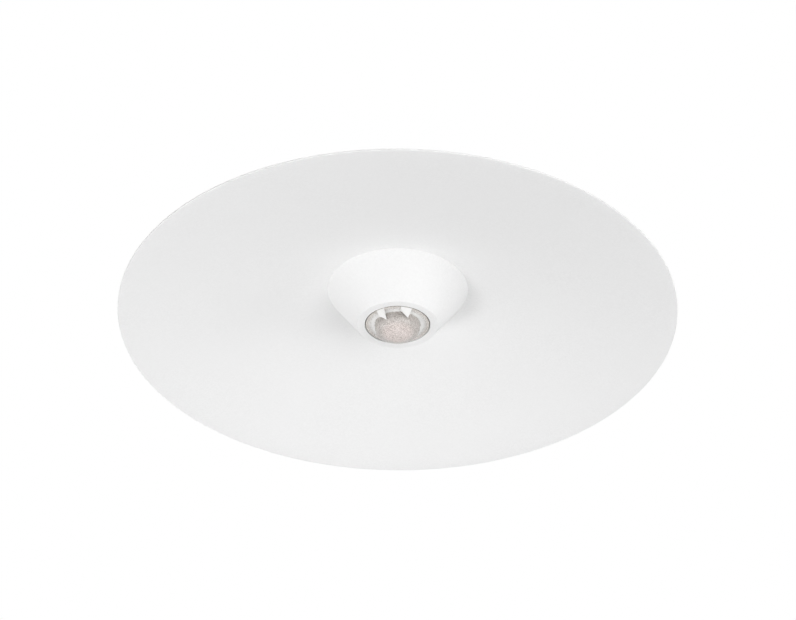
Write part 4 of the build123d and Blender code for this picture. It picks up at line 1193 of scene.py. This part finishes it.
ridgeSet = {
    "Count": 6,
    "Radius": 0.28 * mm,
    "Length": 3.3 * mm,
    "Step": 0.85 * mm,
    "Start": 8.0 * mm,          # from the lever's axis
}
leverSet = {
    "axis": 44.0 * mm,          # of each lever, from the adapter's middle
    "sunk": 0.06 * mm,          # of a ridge, in the lever's face
    "crease": 50.0,
}


def ridgeTree():
    wire, given = newTree("gripRidges", {
        "Count": "Int", "Radius": "Float", "Length": "Float", "Step": "Float", "Start": "Float",
        "Middle": "Float", "Way": "Float", "Level": "Float", "Finish": "Material",
    })
    line = wire.make("GeometryNodeMeshLine", values={
        "Count": given["Count"],
        "Start Location": wire.vector(given["Middle"] + given["Start"] * given["Way"], 0.0, given["Level"]),
        "Offset": wire.vector(given["Step"] * given["Way"], 0.0, 0.0),
    })
    ball = wire.make("GeometryNodeMeshUVSphere", values={
        "Segments": 14, "Rings": 10, "Radius": given["Radius"],
    })
    # Its two halves are drawn apart into a bar with round ends
    x, y, z = wire.make("GeometryNodeInputPosition").parts()
    side = y.math("SIGN") * (y.math("ABSOLUTE") / given["Radius"] * 8.0).math("MINIMUM", 1.0)
    stretched = wire.vector(x, y + (given["Length"] * 0.5 - given["Radius"]) * side, z)
    bar = wire.make("GeometryNodeSetPosition", values={"Geometry": ball, "Position": stretched})
    ridges = wire.make("GeometryNodeInstanceOnPoints", values={"Points": line, "Instance": bar})
    return finished(ridges, given)


def makeRidges(tree, side, way):
    node = "lock_lever_" + side
    ridges = meshObject(side + "GripRidges", [], [])
    addTree(
        ridges, tree, Middle=way * leverSet["axis"], Way=way, Level=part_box(node)[0].z + leverSet["sunk"],
        Finish=finishes[slotOfNode[node]], **ridgeSet,
    )
    settled(ridges)
    smoothTo(ridges, leverSet["crease"])
    handOver(ridges, node)


gripTree = ridgeTree()
for side, way in (("left", -1.0), ("right", 1.0)):
    makeRidges(gripTree, side, way)
print("grip ridges made")


# Contact springs: wound wire with closed ends, that shortens as its pin is pressed in

springSet = {
    "wire": 0.36 * mm,
    "turns": 6.0,
    "closing": 0.62,            # how much flatter the end turns lie
    "steps": 40,                # sections in a turn
    "around": 12,
    "crease": 50.0,
}


def makeSpring(node):
    low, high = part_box(node)
    middle = (low + high) / 2
    wire = springSet["wire"] / 2
    radius = (high.x - low.x) / 2 - wire
    rise = high.z - low.z - 2 * wire
    count = round(springSet["turns"] * springSet["steps"])
    arms = fullTurn(springSet["around"])
    rings = []
    for step in range(count + 1):
        share = step / count
        turn = math.tau * springSet["turns"] * share
        lift = share - springSet["closing"] * math.sin(math.tau * share) / math.tau
        out = Vector((math.cos(turn), math.sin(turn), 0))
        centre = Vector((middle.x, middle.y, low.z + wire + rise * lift)) + out * radius
        rings.append([
            centre + out * wire * math.cos(arm) + Vector((0, 0, wire * math.sin(arm))) for arm in arms
        ])
    spring = skinned(node + "_wound", rings, capped=True)
    tidyMesh(spring, springSet["crease"])
    handOver(spring, node)
    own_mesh(spring)


for joint in frame["record"]["behaviour"]["joints"]:
    for deforming in joint.get("deforming_nodes", []):
        makeSpring(deforming["node"])
print("contact springs made")


# Pieces that keep their CAD shape and gain worn, rounded edges, by the width of each in mm

edgeSet = {
    "adapter_housing": 0.35, "adapter_cover": 0.2, "track_magnet_left": 0.15, "track_magnet_right": 0.15,
    "contact_block": 0.12, "lock_lever_left": 0.3, "lock_lever_right": 0.3, "lock_cam_left": 0.2,
    "lock_cam_right": 0.2, "swivel_washer": 0.12, "swivel_fork": 0.5, "tilt_washer_left": 0.1,
    "tilt_washer_right": 0.1, "tilt_bracket": 0.4, "swivel_nut": 0.25,
    "swivel_stem": 0.2, "reflector": 0.15, "light_holder": 0.2,
}
shellSet = {
    "flat": 0.4,                # degrees up to which neighbouring faces become one
    "crease": 28.0,
}


def roundedCopy(node, width):
    made = bpy.data.objects.new(f"{node}_shell", frame["nodes"][node].data.copy())
    bpy.context.scene.collection.objects.link(made)
    work = merged(made.data, meshSet["cadMerge"])
    flat = math.radians(shellSet["flat"])
    bmesh.ops.dissolve_limit(work, angle_limit=flat, verts=work.verts, edges=work.edges, delimit={"NORMAL"})
    work.to_mesh(made.data)
    work.free()
    addBevel(made, width)
    settled(made)
    smoothTo(made, shellSet["crease"])
    handOver(made, node)


for node, width in edgeSet.items():
    roundedCopy(node, width * mm)
print("edges rounded on", len(edgeSet), "pieces")


# Stage: a plain pale floor below, a white background and soft studio lamps

stageSet = {
    "floorLevel": -1.5,
    "floorSize": 120.0,
    "floorColour": (0.86, 0.86, 0.86),
    "floorRoughness": 0.8,
    "floorGrain": 0.2,
    "paleNear": 0.64,           # how much of the floor's look is plain white near the lamp
    "fadeFrom": 1.5,            # and over what distance it fades to white
    "fadeTo": 12.0,
    "ambient": 0.15,            # the world's share of the light
    "lampDistance": 1.4,
    "lampAim": (0, 0, -0.07),
}
# Each lamp is a round softbox: degrees round from -Y towards +X, degrees below level, width, watts
lampSet = {
    "frontSoftbox": (20, 18, 1.4, 4.6),
    "rightSoftbox": (45, 30, 1.0, 5.3),
    "rightEdge": (82, 9, 0.5, 3.2),
    "leftEdge": (325, 9, 0.6, 1.1),
    "leftSoftbox": (270, 30, 1.0, 2.5),
    "leftSpot": (290, 42, 0.45, 4.2),
    "underSoftbox": (180, 70, 1.0, 3.3),
    "topSoftbox": (0, -80, 2.2, 17.0),
    "frontHigh": (0, -14, 1.2, 2.4),
    "backHigh": (180, -22, 1.2, 5.0),
}
white = (1.0, 1.0, 1.0, 1.0)


def seenDirectly(wire):
    # 1 for rays from the camera, off gloss and through glass
    rays = wire.make("ShaderNodeLightPath").socket.node.outputs
    labels = ("Is Camera Ray", "Is Glossy Ray", "Is Transmission Ray")
    direct, glossy, through = (Wire(wire.tree, rays[label]) for label in labels)
    return direct.math("MAXIMUM", glossy).math("MAXIMUM", through)


def makeFloor():
    half = stageSet["floorSize"] / 2
    corners = [(x * half, y * half, stageSet["floorLevel"]) for x, y in ((-1, -1), (1, -1), (1, 1), (-1, 1))]
    floor = meshObject("floor", corners, [(0, 1, 2, 3)])
    paint = Finish("floorPaint", stageSet["floorColour"], stageSet["floorRoughness"])
    paint.roughen(paint.noise(stageSet["floorGrain"]), stageSet["floorRoughness"], 0.1)
    x, y, z = paint.place.parts()
    far = (x * x + y * y).math("SQRT").between(stageSet["fadeFrom"], stageSet["fadeTo"])
    pale = far * (1.0 - stageSet["paleNear"]) + stageSet["paleNear"]
    glow = paint.wire.make("ShaderNodeEmission", values={"Color": white, "Strength": 1.0})
    plain = Wire(paint.tree, paint.shader.outputs[0])
    look = paint.wire.make("ShaderNodeMixShader", values={
        0: seenDirectly(paint.wire) * pale, 1: plain, 2: glow,
    })
    paint.tree.links.new(look.socket, paint.tree.nodes["Material Output"].inputs["Surface"])
    floor.data.materials.append(paint.material)


def makeWorld():
    world = bpy.data.worlds.new("studio")
    bpy.context.scene.world = world
    world.use_nodes = True
    background = world.node_tree.nodes["Background"]
    background.inputs["Color"].default_value = white
    seen = seenDirectly(Wire(world.node_tree))
    strength = seen * (1.0 - stageSet["ambient"]) + stageSet["ambient"]
    world.node_tree.links.new(strength.socket, background.inputs["Strength"])


def makeLamps():
    for name, (azimuth, below, width, watts) in lampSet.items():
        lamp = bpy.data.objects.new(name, bpy.data.lights.new(name, "AREA"))
        lamp.data.shape = "DISK"
        lamp.data.size = width
        lamp.data.energy = watts
        turn = Matrix.Rotation(math.radians(azimuth), 3, "Z") @ Matrix.Rotation(math.radians(below), 3, "X")
        outward = turn @ Vector((0, -1, 0))
        lamp.location = Vector(stageSet["lampAim"]) + outward * stageSet["lampDistance"]
        lamp.rotation_euler = (-outward).to_track_quat("-Z", "Y").to_euler()
        lamp.visible_camera = False
        bpy.context.scene.collection.objects.link(lamp)


makeFloor()
makeWorld()
makeLamps()
bpy.context.scene.view_settings.view_transform = "Standard"
print("stage set")
